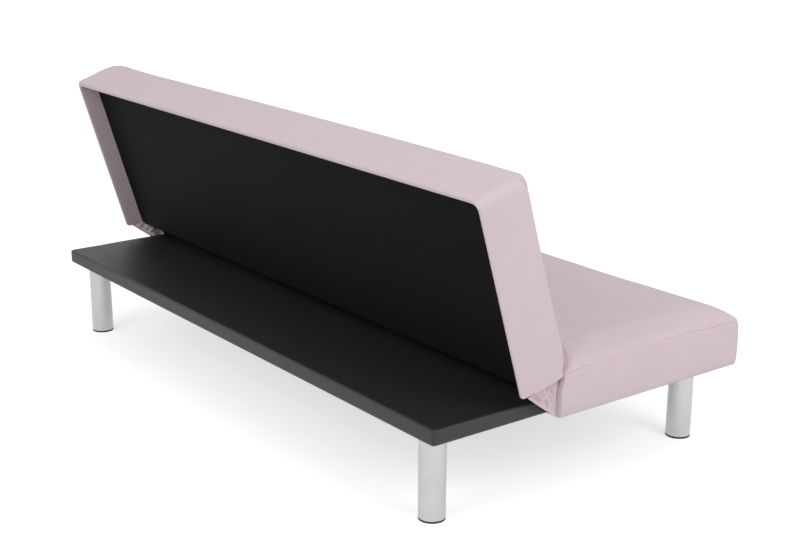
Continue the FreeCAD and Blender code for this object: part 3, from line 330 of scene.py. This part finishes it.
def sewn(name, points, parts):
    """A mesh from points and the faces of its parts, smooth, with the cloth's measure as its UV map."""
    faces = [[*dict.fromkeys(face)] for part in parts for face in part[0].tolist()]
    mesh = bpy.data.meshes.new(name)
    mesh.from_pydata([tuple(map(float, p)) for p in points], [], faces)
    layer = mesh.uv_layers.new(name="cloth")
    flat = []
    for part in parts:
        for face, uvs in zip(part[0].tolist(), part[1]):
            kept = set()
            for place, uv in zip(face, uvs):
                if place not in kept:
                    kept.add(place)
                    flat.extend(uv)
    layer.data.foreach_set("uv", flat)
    mesh.polygons.foreach_set("use_smooth", [True] * len(faces))
    work = bmesh.new()
    work.from_mesh(mesh)
    bmesh.ops.recalc_face_normals(work, faces=work.faces)
    work.to_mesh(mesh)
    work.free()
    piece = bpy.data.objects.new(name, mesh)
    scene.collection.objects.link(piece)
    smooth = piece.modifiers.new("smooth", "SUBSURF")
    smooth.levels = smooth.render_levels = 1
    return piece


def ripple(place, size, seed):
    """Smooth unevenness from -1 to 1, with hollows about that far apart."""
    return noise.noise(Vector(place) / size + Vector((seed, 2.3 * seed, -seed)))


def steps(length, size, corners=()):
    """Marks from 0 to 1 along a length: even ones, about that far apart, and closer ones at those
    distances from each end, where cloth turns a corner."""
    ends = np.array([0, *corners])
    inside = length - 2 * ends[-1]
    even = ends[-1] + inside * np.linspace(0, 1, max(2, round(inside / size)) + 1)
    return np.concatenate([ends[:-1], even, length - ends[:-1][::-1]]) / length


MESH_SIZE = 0.014
CORNER_MARKS = (0.0025, 0.006, 0.010, 0.015, 0.022)
TURNS = np.radians([0, 4, 9, 15, 22, 30, 38, 47, 56, 65, 74, 82, 90])
TUCKS = ((0.009, 0.0035), (0.0035, 0.0014))
SEAM_CLOTH, RISE_CLOTH = 0.070, 0.045
LIP_CORNER = 0.008


def walked(points):
    """How far along a line of points each one lies."""
    return np.concatenate([[0], np.cumsum(np.linalg.norm(np.diff(points, axis=0), axis=1))])


def cushion(name, put, half, deep, lip_run, seam, top, ease, swell, corner, seed):
    """A cushion blown up like a pillow: its seam ring, the long rise from it at both ends and at the
    far side, the slope at the near side and the domed top, closed below. Ease is how far in from the
    ends and from the far side it has risen in full, swell is how far the far side stands out, and
    corner is the radius of the far corners."""
    along, down = steps(2 * half, MESH_SIZE, CORNER_MARKS), steps(deep, MESH_SIZE, CORNER_MARKS)
    marks = edge_marks(along, down)
    height = seam(marks)
    walk = walked(marks * (2 * half, deep))
    rings, cloth = [], []
    for inset, drop in TUCKS:
        plan, out = rounded(marks, (inset - half, inset), (half - inset, deep - inset), (LIP_CORNER, corner))
        rings.append(np.column_stack([plan, height - drop]))
        cloth.append(plan + out * (SEAM_CLOTH + inset))
    far_side = marks[:, 1] * np.sin(math.pi * marks[:, 0]) ** 0.3
    for turn in TURNS:
        ends_in, far_in = (length * (1 - math.cos(turn)) for length in ease)
        slope = lip_run * math.sin(turn)
        radii = (LIP_CORNER + 0.4 * slope, corner + 0.5 * far_in)
        plan, out = rounded(marks, (ends_in - half, slope), (half - ends_in, deep - far_in), radii)
        arc = RISE_CLOTH * turn
        gather = np.array([ripple((w, arc, 0), 0.020, seed) for w in walk])
        proud = 0.0012 * math.sin(min(1, 2 * turn) * math.pi / 2) + 0.0010 * gather * math.exp(-arc / 0.012)
        proud = proud + swell * far_side * math.sin(2 * turn)
        proud = np.where(marks[:, 1] == 0, 0, proud) - (0.0010 if turn == 0 else 0)
        plan = plan + out * (proud * math.cos(turn))[:, None]
        rise = height + (top - height) * math.sin(turn) + proud * math.sin(turn)
        rings.append(np.column_stack([plan, rise]))
        cloth.append(plan + out * (SEAM_CLOTH - arc))
    crown = filled(rings.pop(), along, down)
    crown_cloth = filled(cloth.pop(), along, down)
    u, v = np.meshgrid(along, down)
    dome = (1 - (2 * u - 1) ** 6) * (1 - (2 * v - 1) ** 4)
    uneven = np.vectorize(lambda a, b: ripple((a, b, 0), 0.24, seed + 3))(crown[..., 0], crown[..., 1])
    crown[..., 2] += (0.0040 + 0.0016 * uneven) * dome
    inset, drop = 0.016, 0.006
    floor_ring, _ = rounded(marks, (inset - half, inset), (half - inset, deep - inset), (LIP_CORNER, corner))
    under = filled(np.column_stack([floor_ring, height - drop]), along, down)
    count = len(marks)
    crown_index = np.arange(crown[..., 0].size).reshape(crown.shape[:2])
    ring_index = crown_index.size + np.arange(len(rings) * count).reshape(len(rings), count)
    under_index = crown_index.size + ring_index.size + crown_index
    wall = np.concatenate([edge_of(under_index)[None], ring_index, edge_of(crown_index)[None]])
    wall = np.concatenate([wall, wall[:, :1]], 1)
    wall_cloth = np.array([cloth[0], *cloth, edge_of(crown_cloth)])
    wall_cloth = np.concatenate([wall_cloth, wall_cloth[:, :1]], 1)
    points = np.concatenate([crown.reshape(-1, 3), np.concatenate(rings), under.reshape(-1, 3)])
    parts = [squares(crown_index, crown_cloth), squares(wall, wall_cloth),
             squares(under_index, under[..., :2])]
    piece = sewn(name, put(points), parts)
    held = [*ring_index[:3].ravel().tolist(), *under_index.ravel().tolist()]
    away = np.clip(points[:, 1] / 0.10 - 0.2, 0, 1)
    return piece, held, away


PUFF_FRAMES = 20


def puffed(piece, held, room):
    """Blows the cover up a little with a cloth simulation, its seams held, and no point further than
    its room."""
    mesh = piece.data
    rest = np.array([v.co for v in mesh.vertices], float)
    group = piece.vertex_groups.new(name="sewn")
    group.add(held, 1.0, "REPLACE")
    smooth = piece.modifiers[0]
    smooth.show_viewport = False
    sim = piece.modifiers.new("puff", "CLOTH")
    piece.modifiers.move(1, 0)
    sim.settings.vertex_group_mass = "sewn"
    sim.settings.quality = 4
    sim.settings.use_pressure = True
    sim.settings.uniform_pressure_force = 4
    sim.settings.effector_weights.gravity = 0
    sim.collision_settings.use_collision = False
    sim.point_cache.frame_start, sim.point_cache.frame_end = 1, PUFF_FRAMES
    for number in range(1, PUFF_FRAMES + 1):
        scene.frame_set(number)
    swollen = piece.evaluated_get(bpy.context.evaluated_depsgraph_get())
    moved = np.array([v.co for v in swollen.data.vertices], float) - rest
    scene.frame_set(1)
    piece.modifiers.remove(sim)
    piece.vertex_groups.remove(group)
    smooth.show_viewport = True
    length = np.linalg.norm(moved, axis=1)
    limit = np.maximum(room, 1e-6)
    share = limit * np.tanh(length / limit) / np.maximum(length, 1e-9)
    mesh.vertices.foreach_set("co", (rest + moved * share[:, None]).astype(np.float32).ravel())
    mesh.update()


SEAT_HALF, SEAT_FRONT, SEAT_LIP, SEAT_BROW, SEAT_TOP = 0.890, -0.4450, 0.1185, 0.0770, 0.3435
SEAT_CORNER = 0.007
PUFF = 0.0045


def seat_seam(marks):
    """The seam's height: low at the rear, arching up along the ends, level along the front."""
    along, forward = marks[:, 0], marks[:, 1]
    arch = 0.0105 * np.sin(math.pi * forward) + 0.003 * np.sin(math.pi * along) * forward ** 8
    return 0.2975 + 0.0095 * forward + arch


def on_seat(points):
    """Points given across, forward from the seat's rear lip and up, in the sofa."""
    return np.column_stack([points[:, 0], SEAT_LIP - points[:, 1], points[:, 2]])


def woven(name, shade, dusk):
    """A plain weave of fine melange yarn, dull, with a soft bloom at grazing angles."""
    cloth = Finish(name)
    flat = cloth.add("UVMap", {"uv_map": "cloth"})
    yarn = 0.0011
    across = cloth.add("SeparateXYZ", None, {"Vector": flat}, 0)
    down = cloth.add("SeparateXYZ", None, {"Vector": flat}, 1)
    warp = (across * (math.pi / yarn)).maths("SINE")
    weft = (down * (math.pi / yarn)).maths("SINE")
    weave = (warp * warp) * 0.5 + (weft * weft) * 0.5
    slub = (cloth.grain(cloth.stretched(flat, (45, 700, 1)), 1, 2)
            + cloth.grain(cloth.stretched(flat, (700, 45, 1)), 1, 2))
    patch = cloth.grain(flat, 9, 4, 0.6)
    fuzz = cloth.grain(flat, 1500, 2)
    tone = 0.45 * slub + 0.5 * patch - 0.2
    height = weave + 0.6 * slub + 0.5 * fuzz
    return cloth.surface(Base_Color=cloth.mixed(tone, shade, dusk), Roughness=0.85 + 0.1 * fuzz,
                         Sheen_Weight=0.25, Sheen_Roughness=0.5, Specular_IOR_Level=0.25,
                         Normal=cloth.bumps(height, 0.00025, 0.7))


pink = woven("dusty_pink_weave", (0.745, 0.615, 0.660), (0.650, 0.530, 0.572))

seat_pad, held, room = cushion("seat_cushion", on_seat, SEAT_HALF, SEAT_LIP - SEAT_FRONT,
                               SEAT_LIP - SEAT_BROW, seat_seam, SEAT_TOP, (0.090, 0.105), 0.0,
                               SEAT_CORNER, 1.0)
puffed(seat_pad, held, PUFF * room)
seat_pad.data.materials.append(pink)
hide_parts("seat_foam")
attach(seat_pad, "base")


# The seat's border: one long strip of the same cloth sewn to the cushion, pulled down over the end
# boards and rails and stapled under them. At the rear it is hollowed for the backrest's lower edge.

HINGE = (0.138, 0.290)
HINGE_ROOM = 0.0207
SEAT_REAR, SEAT_SOLE, SEAT_EDGE = 0.1258, 0.1987, 0.0080


def strip(name, rows):
    """A closed band of cloth from rows of points down its width."""
    rows = np.array(rows, float)
    index = np.arange(rows[..., 0].size).reshape(rows.shape[:2])
    index = np.concatenate([index, index[:, :1]], 1)
    rows_round = np.concatenate([rows, rows[:, :1]], 1)
    run = np.linalg.norm(np.diff(rows_round, axis=1), axis=2).max(0)
    fall = np.linalg.norm(np.diff(rows, axis=0), axis=2).max(1)
    u = np.concatenate([[0], np.cumsum(run)])
    v = np.concatenate([[0], np.cumsum(fall)])
    cloth = np.stack(np.broadcast_arrays(u[None, :], v[:, None]), -1)
    return sewn(name, rows.reshape(-1, 3), [squares(index, cloth)])


def seat_border_rows():
    """Rows of points round the seat, from the tuck inside the seam down to the staples under it."""
    marks = edge_marks(steps(1.78, MESH_SIZE, CORNER_MARKS), steps(0.567, MESH_SIZE, CORNER_MARKS))
    rear = marks[:, 1] == 0
    tall = seat_seam(marks) - SEAT_SOLE
    drops = [(0, -0.0085), (0.004, -0.0034), (0.009, -0.0004), (0.02, 0.0010), (0.05, 0.0018)]
    drops += [(t, 0.0018 + 0.0016 * math.sin(math.pi * t)) for t in np.linspace(0.12, 0.86, 9)]
    rows = [(SEAT_SOLE + tall * (1 - drop), out_by) for drop, out_by in drops]
    for angle in np.radians([0, 18, 36, 54, 72, 90]):
        fall, turned_in = SEAT_EDGE * (1 - math.sin(angle)), SEAT_EDGE * (1 - math.cos(angle))
        rows.append((np.full(len(marks), SEAT_SOLE + fall), 0.0012 * math.cos(angle) - turned_in))
    rows += [(np.full(len(marks), SEAT_SOLE), -0.018), (np.full(len(marks), SEAT_SOLE), -0.027)]
    made = []
    for height, out_by in rows:
        hollow = np.clip(HINGE_ROOM ** 2 - (height - HINGE[1]) ** 2, 0, None)
        face = np.minimum(SEAT_REAR, HINGE[0] - np.sqrt(hollow) - 0.0002)
        face = np.where(height < 0.272, SEAT_REAR, face)
        low = np.column_stack([np.full(len(marks), -SEAT_HALF), SEAT_LIP - face])
        plan, out = rounded(marks, low, (SEAT_HALF, SEAT_LIP - SEAT_FRONT),
                            (LIP_CORNER, SEAT_CORNER))
        wave = np.array([ripple((*p, z), 0.11, 4.0) for p, z in zip(plan, height)])
        loose = 0.0012 * wave if out_by > 0.0008 else 0
        plan = plan + out * (np.where(rear & (out_by > 0), 0, out_by + loose))[:, None]
        made.append(on_seat(np.column_stack([plan, height])))
    return made


spun = Finish("black_spunbond")
flat = spun.add("UVMap", {"uv_map": "cloth"})
dimple = spun.add("TexVoronoi", None, {"Vector": flat, "Scale": 420, "Randomness": 0.35})
fibres = spun.grain(spun.stretched(flat, (1, 1.6, 1)), 900, 3)
fold = spun.grain(flat, 5, 4)
spun_black = spun.surface(Base_Color=spun.mixed(fold, (0.0018, 0.0018, 0.0019), (0.0034, 0.0034, 0.0035)),
                          Roughness=0.72 + 0.15 * fibres, Specular_IOR_Level=0.13,
                          Normal=spun.bumps(dimple + 0.5 * fibres, 0.00018, 0.6))


def paint_gap_shade(piece, between, in_shade):
    """Painted shade: gives the black spunbond cloth to the faces that a rule picks, all between the gussets,
    so that they stand dark in the shaded gap behind the seat and under the backrest.
    """
    piece.data.materials.append(pink)
    piece.data.materials.append(spun_black)
    for face in piece.data.polygons:
        if abs(face.center.x) < between and in_shade(face.center):
            face.material_index = 1


BETWEEN_GUSSETS = 0.868

seat_band = strip("seat_border", seat_border_rows())
# Painted shade: the seat border's rear face, down in the gap under the backrest, is given the black cloth.
paint_gap_shade(seat_band, BETWEEN_GUSSETS, lambda place: place.y > 0.122 and place.z < 0.289)
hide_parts("seat_cover")
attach(seat_band, "base")


# The platform: black vinyl pulled over a thin board with a skin of wadding, stapled below. Its
# edges are soft and a little uneven, and its rear corners are pulled tight.

vinyl = Finish("black_vinyl")
flat = vinyl.add("UVMap", {"uv_map": "cloth"})
pebble = vinyl.add("TexVoronoi", {"feature": "SMOOTH_F1"}, {"Vector": flat, "Scale": 620, "Smoothness": 0.6})
crease = vinyl.grain(flat, 260, 4, 0.6, 0.8)
slack = vinyl.grain(vinyl.stretched(flat, (4, 9, 1)), 1.6, 3)
vinyl_black = vinyl.surface(
    Base_Color=vinyl.mixed(crease, (0.0105, 0.0105, 0.0110), (0.0190, 0.0190, 0.0195)),
    Roughness=0.40 + 0.10 * crease + 0.08 * slack, Specular_IOR_Level=0.5,
    Normal=vinyl.bumps(pebble + 0.6 * crease, 0.00022, 0.6, vinyl.bumps(slack, 0.0035, 0.5)))

PLAT_HALF, PLAT_FRONT, PLAT_REAR, PLAT_EDGE = 0.8510, 0.1262, 0.441, 0.006
PLAT_SOLE, PLAT_TOP = 0.2001, 0.2372
PLAT_CORNERS = (0.0005, 0.008)


def platform_cover():
    """The vinyl, from its staples under the board up round the edges and over the top."""
    along = steps(2 * PLAT_HALF, MESH_SIZE, CORNER_MARKS[:-1])
    deep = steps(PLAT_REAR - PLAT_FRONT, MESH_SIZE, CORNER_MARKS[:-1])
    marks = edge_marks(along, deep)
    low, high = np.array((-PLAT_HALF, PLAT_FRONT)), np.array((PLAT_HALF, PLAT_REAR))
    edge_turns = np.radians([0, 22, 45, 68, 90])
    inward, onward = PLAT_EDGE * (1 - np.sin(edge_turns)), PLAT_EDGE * (1 - np.cos(edge_turns))
    top_inset = 0.018
    profile = [(0.024, 0.2002), (0.014, PLAT_SOLE)]
    profile += zip(inward, PLAT_SOLE + onward)
    profile += [(0, 0.212), (0, 0.219), (0, 0.226)]
    profile += zip(onward, PLAT_TOP - inward)
    profile += [(0.011, PLAT_TOP), (top_inset, PLAT_TOP)]
    rings = []
    for number, (inset, height) in enumerate(profile):
        plan, out = rounded(marks, low + (inset, 0), high - inset, PLAT_CORNERS)
        edge = math.exp(-((number - 12) / 2.5) ** 2)
        pull = np.array([0.6 * ripple((*p, 0), 0.10, 7.0) + 0.4 * ripple((*p, 0), 0.035, 8.0)
                         for p in plan])
        plan = plan + out * (np.where(marks[:, 1] == 0, 0, 0.0014) * edge * pull)[:, None]
        rings.append(np.column_stack([plan, height + 0.0010 * edge * np.minimum(pull, 0.3)]))
    top = filled(rings.pop(), along, deep)
    u, v = np.meshgrid(along, deep)
    top[..., 2] += 0.0003 * (1 - (2 * u - 1) ** 6) * (1 - (2 * v - 1) ** 6)
    count = len(marks)
    top_index = np.arange(top[..., 0].size).reshape(top.shape[:2])
    ring_index = top_index.size + np.arange(len(rings) * count).reshape(len(rings), count)
    wall = np.concatenate([ring_index, edge_of(top_index)[None]])
    wall = np.concatenate([wall, wall[:, :1]], 1)
    heights = np.concatenate([[0], np.cumsum([math.dist(a, b) for a, b in zip(profile, profile[1:])])])
    plan, out = rounded(marks, low + (top_inset, 0), high - top_inset, PLAT_CORNERS)
    cloth = np.array([plan + out * (heights[-1] - h) for h in heights])
    cloth = np.concatenate([cloth, cloth[:, :1]], 1)
    points = np.concatenate([top.reshape(-1, 3), np.concatenate(rings)])
    return sewn("platform_vinyl", points, [squares(top_index, top[..., :2]), squares(wall, cloth)])


deck = platform_cover()
deck.data.materials.append(vinyl_black)
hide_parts("platform_cover")
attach(deck, "base")


# The backrest's cushion: the same make as the seat's, a foam pad crowned over its front seam. It is
# worked out lying flat, up from the hinge line and out to the sitter, then stood up 16.5 degrees back.

LEAN = math.radians(16.5)
BACK_HALF, BACK_TOP, BACK_LIP, BACK_SOLE = 0.890, 0.467, 0.0049, -0.002
SEAM_LOW, SEAM_HIGH = 0.0191, 0.0213


def on_back(points):
    """Points given across, up from the hinge line and out to the sitter, in the standing backrest."""
    x, up, out = points[:, 0], points[:, 1], points[:, 2]
    return np.column_stack([x, HINGE[0] + up * math.sin(LEAN) - out * math.cos(LEAN),
                            HINGE[1] + up * math.cos(LEAN) + out * math.sin(LEAN)])


def back_seam(marks):
    """The front seam's distance out: a little less at the lower edge."""
    return SEAM_LOW + (SEAM_HIGH - SEAM_LOW) * np.clip(marks[:, 1] / 0.12, 0, 1)


def corner_pull(points):
    """How far up the top edge is pulled out of line: it arches between its corners, and the right
    corner is stitched a little high."""
    tall = (np.clip(points[:, 1], 0, None) / BACK_TOP) ** 6
    arch = np.sqrt(np.clip(1 - (points[:, 0] / BACK_HALF) ** 2, 0, None))
    right = np.exp((points[:, 0] - BACK_HALF) / 0.09)
    return tall * (0.0055 * arch + 0.013 * right)


def on_back_cushion(points):
    """Points given across, up from the cushion's lower edge and out, in the standing backrest."""
    points = points + (0, BACK_LIP, 0)
    points[:, 1] += corner_pull(points)
    return on_back(points)


back_pad, held, room = cushion("back_cushion", on_back_cushion, BACK_HALF, BACK_TOP - BACK_LIP, 0.0502,
                               back_seam, 0.0600, (0.086, 0.030), 0.0035, 0.018, 11.0)
puffed(back_pad, held, PUFF * room)
back_pad.data.materials.append(pink)
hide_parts("back_foam")
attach(back_pad, "backrest")


# The backrest's border: the cloth runs back from the front seam over the boards at both ends and the
# top, turns over their rear edge and lines the tray, and wraps under the lower edge past the hinge
# line, where it is slit for the hinge at each end.

RIM_IN, RIM_TOP, BACKING, RIM_BACK = 0.884, 0.461, -0.0500, -0.1007
NOSE, CHIN = 0.0197, 0.0196
RIM_CORNERS = (0.003, 0.022)
SLOT, SLOT_MARKS = (0.8465, 0.8645), (0.0025, 0.006, 0.011, 0.0195, 0.0375)
WALL_LIFT, WALL_CORNER = 0.006, 0.013


def raised(up, out):
    """How far up the tray walls' lower edge lies at that depth: it steps up behind the backing and is
    rounded off at the rear."""
    lift = WALL_LIFT * np.clip((BACKING - 0.002 - out) / 0.012, 0, 1)
    into = np.clip(RIM_BACK + WALL_CORNER - out, 0, WALL_CORNER)
    lift = lift + WALL_CORNER - np.sqrt(WALL_CORNER ** 2 - into ** 2)
    return up + lift * np.exp(-(up - BACK_SOLE) / 0.02)


def back_border():
    """The whole border: closed rows from the seam back to the backing's depth, open ones from there
    over the rim and into the tray."""
    side_marks = steps(0.469, MESH_SIZE, CORNER_MARKS)
    slot = (RIM_IN / BACK_HALF + 1) / 2
    middle = 1 - slot + (2 * slot - 1) * steps(2 * RIM_IN, MESH_SIZE, SLOT_MARKS)
    along = np.concatenate([[0, (1 - slot) / 2], middle, [(1 + slot) / 2, 1]])
    marks = np.roll(edge_marks(along, side_marks), 3 - len(along), axis=0)
    lower = marks[:, 1] == 0
    others = int(np.argmax(lower & (marks[:, 0] <= 1 - slot + 1e-9))) + 1
    first, last = math.atan2(SEAM_LOW, BACK_LIP), math.atan2(CHIN, BACK_SOLE)
    arc = NOSE * (last - first)
    flat_run = CHIN - BACKING + 0.0022
    turns = [0, 0.008, 0.02, 0.05, 0.11, 0.17, 0.24, 0.31, 0.38, 0.45, 0.52, 0.59, 0.66, 0.75, 0.84,
             0.93, 1.0]
    rows = []
    for turn, tuck in [(0, -0.0085), (0, -0.0034)] + [(t, 0) for t in turns]:
        run = turn * (arc + flat_run)
        angle = first + min(run, arc) / NOSE
        lip = (NOSE * math.cos(angle), NOSE * math.sin(angle) - max(0, run - arc))
        outward = SEAM_HIGH - (SEAM_HIGH - BACKING) * turn
        low = np.column_stack([np.full(len(marks), -BACK_HALF), np.full(len(marks), lip[0])])
        plan, out = rounded(marks, low, (BACK_HALF, BACK_TOP), RIM_CORNERS)
        near = np.exp(-np.clip(plan[:, 1] - lip[0], 0, None) / 0.02)
        height = outward + (lip[1] - outward) * near - (0.0006 if tuck else 0)
        proud = tuck - 0.0009 if turn == 0 else 0.0012 * min(1, turn / 0.05)
        wave = np.array([ripple((x, up, 2 * outward), 0.12, 5.0) for x, up in plan])
        full = math.sin(math.pi * turn) * np.where(marks[:, 1] == 1, 0.0022, 0.0010)
        loose = proud + (0.0008 * wave + full) * (turn > 0)
        plan = plan + out * np.where(lower, min(proud, 0), loose)[:, None]
        rows.append(np.column_stack([plan[:, 0], raised(plan[:, 1], height), height]))
        rows[-1][:, 1] += corner_pull(rows[-1])
    outer = marks[:others]
    plan_out, out = rounded(outer, (-BACK_HALF, BACK_SOLE), (BACK_HALF, BACK_TOP), RIM_CORNERS)
    plan_in, _ = rounded(outer, (-RIM_IN, BACK_SOLE), (RIM_IN, RIM_TOP), (0.0003, 0.016))
    for side, sign in ((slice(0, 3), 1), (slice(others - 1, others - 4, -1), -1)):
        plan_in[side] = np.column_stack([np.full(3, sign * RIM_IN), (BACK_SOLE, -0.0015, -0.001)])
    rim = [(0, -0.060), (0, -0.072), (0, -0.084), (0, -0.094), (0.04, -0.0985), (0.18, -0.1001),
           (0.38, RIM_BACK), (0.62, RIM_BACK), (0.82, -0.1001), (0.96, -0.0985), (1, -0.094),
           (1, -0.084), (1, -0.072), (1, -0.060), (1, -0.0495)]
    for share, height in rim:
        plan = plan_out + (plan_in - plan_out) * share
        wave = np.array([ripple((x, up, 2 * height), 0.12, 5.0) for x, up in plan])
        loose = np.where(outer[:, 1] == 0, 0, 0.0012 + 0.0008 * wave)
        plan = plan + out * (loose * (1 - share))[:, None]
        deep = np.full(others, height)
        rows.append(np.column_stack([plan[:, 0], raised(plan[:, 1], deep), deep]))
        rows[-1][:, 1] += corner_pull(rows[-1]) * (1 - share)
    bands = len(rows) - len(rim)
    laid = np.concatenate(rows)
    rows = [on_back(row) for row in rows]
    whole = np.arange(bands * len(marks)).reshape(bands, len(marks))
    wall = whole.size + np.arange(len(rim) * others).reshape(len(rim), others)
    wall = np.concatenate([whole[-1:, :others], wall])
    walk = walked(np.concatenate([rows[8], rows[8][:1]]))
    fall = walked(np.array([row[others // 2] for row in rows]))
    cloth = np.stack(np.broadcast_arrays(walk[None, :], fall[:, None]), -1)
    faces, measures = squares(np.concatenate([whole, whole[:, :1]], 1), cloth[:bands])
    across, up, outward = laid[faces].mean(1).T
    solid = (np.abs(across) < SLOT[0]) | (np.abs(across) > SLOT[1]) | (up > 0) | (outward > NOSE)
    parts = [(faces[solid], measures[solid]), squares(wall, cloth[bands - 1:, :others])]
    return sewn("back_border", np.concatenate(rows), parts)


def under_backrest(place):
    """Whether a place is on the strip of border below the backing."""
    up = (place.y - HINGE[0]) * math.sin(LEAN) + (place.z - HINGE[1]) * math.cos(LEAN)
    out = (HINGE[0] - place.y) * math.cos(LEAN) + (place.z - HINGE[1]) * math.sin(LEAN)
    return up < 0.004 and out < -0.010


back_band = back_border()
# Painted shade: the strip of border under the backrest's lower edge is given the black cloth.
paint_gap_shade(back_band, BETWEEN_GUSSETS, under_backrest)
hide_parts("back_cover")
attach(back_band, "backrest")


# The backing: black spunbonded cloth stapled over the rails at the bottom of the tray, taut, with a
# slight hollow between the stiles.

def panel(name, low, high, size, depth, put=np.asarray):
    """A flat panel of cloth, as a grid with a hollow that a function gives."""
    across, up = steps(high[0] - low[0], size), steps(high[1] - low[1], size)
    u, v = np.meshgrid(across, up)
    x, y = low[0] + (high[0] - low[0]) * u, low[1] + (high[1] - low[1]) * v
    points = np.stack([x, y, depth(x, y)], -1)
    index = np.arange(u.size).reshape(u.shape)
    return sewn(name, put(points.reshape(-1, 3)), [squares(index, points[..., :2])])


STILE_PITCH = 0.42


def backing_hollow(x, y):
    """How far out the backing lies: it is drawn in between the stiles."""
    across = np.sin(math.pi * (np.abs(x) / STILE_PITCH % 1)) ** 2
    between = across * np.sin(math.pi * (y - BACK_SOLE) / (RIM_TOP - BACK_SOLE))
    uneven = np.vectorize(lambda a, b: ripple((a, b, 0), 0.16, 9.0))(x, y)
    return -0.0508 + 0.0018 * between + 0.0006 * uneven


backing = panel("back_backing_cloth", (-RIM_IN, -0.0028), (RIM_IN, RIM_TOP), 0.016, backing_hollow, on_back)
backing.data.materials.append(spun_black)
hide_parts("back_backing")
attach(backing, "backrest")


# Dust covers: the same black cloth stapled under the seat and under the platform.

def sag(x, y):
    """The height of a lining that hangs a little slack between its staples."""
    return 0.2012 - 0.0009 * np.cos(math.pi * x / 1.73) * np.sin(math.pi * (y - y.min()) / np.ptp(y))


LININGS = (
    ("seat_underlining", "seat_dust_cover", "seat_front_rail", (-0.865, -0.416), (0.865, 0.101)),
    ("platform_underlining", "platform_dust_cover", "platform_rear_rail", (-0.8235, 0.1265), (0.8235, 0.416)))
for name, node, rail, low, high in LININGS:
    lining = panel(name, low, high, 0.025, sag)
    lining.data.materials.append(spun_black)
    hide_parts(node)
    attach(lining, "base")


# The gussets: a loose triangle of the pink cloth at each end, sewn between the seat's lower rear
# corner and the backrest's lower edge. It hangs open in soft folds, made as a fan, which on the sofa shuts
# behind the seat.

SEAT_END, BACK_END = np.array((0.1268, 0.1995)), np.array((0.2165, 0.2668))
GUSSET_TURN = np.radians((-90, -14.5))


def gusset(name, sign):
    """One gusset, as a fan of folds from the hinge line out to the hem between its two corners."""
    turns, reach = np.linspace(0, 1, 41), np.linspace(0, 1, 37)
    hinge, gather = np.array(HINGE), 0.003
    first, last = GUSSET_TURN
    points = np.zeros((len(turns), len(reach), 3))
    for i, turn in enumerate(turns):
        angle = first + (last - first) * turn
        way = np.array((math.cos(angle), math.sin(angle)))
        start = hinge + np.array((-0.0115, 0)) * (1 - turn)
        far = np.linalg.solve(np.column_stack([way, SEAT_END - BACK_END]), SEAT_END - start)[0]
        for j, share in enumerate(reach):
            place = start + way * (gather + (far - gather) * share)
            crumple = 1 - abs(ripple((2.1 * turn + 0.8 * share, 1.3 * share - turn, 0), 0.42, 12 + sign))
            fan = abs(math.sin(5.2 * turn + 1.9 * share + 0.6 * sign))
            loose = math.sin(math.pi * turn) ** 0.6 * (0.35 + 0.65 * share)
            hem = 1 - 0.75 * np.clip((share - 0.86) / 0.08, 0, 1)
            fold = 0.019 * (0.25 + 0.45 * fan + 0.5 * crumple ** 3) + 0.004
            depth = fold * loose * hem + 0.009 * math.exp(-turn / 0.05)
            roll = 0.0016 * math.exp(-((share - 0.95) / 0.04) ** 2)
            points[i, j] = (sign * (0.8880 - depth + roll), *place)
    index = np.arange(points[..., 0].size).reshape(points.shape[:2])
    cloth = np.stack(np.meshgrid(reach * 0.11, turns * 0.10), -1)
    piece = sewn(name, points.reshape(-1, 3), [squares(index, cloth)])
    piece.data.materials.append(pink)
    return piece


for end, sign in (("left", -1), ("right", 1)):
    folded = gusset(f"gusset_cloth_{end}", sign)
    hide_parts(f"gusset_{end}")
    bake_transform(folded)


bpy.context.view_layer.update()
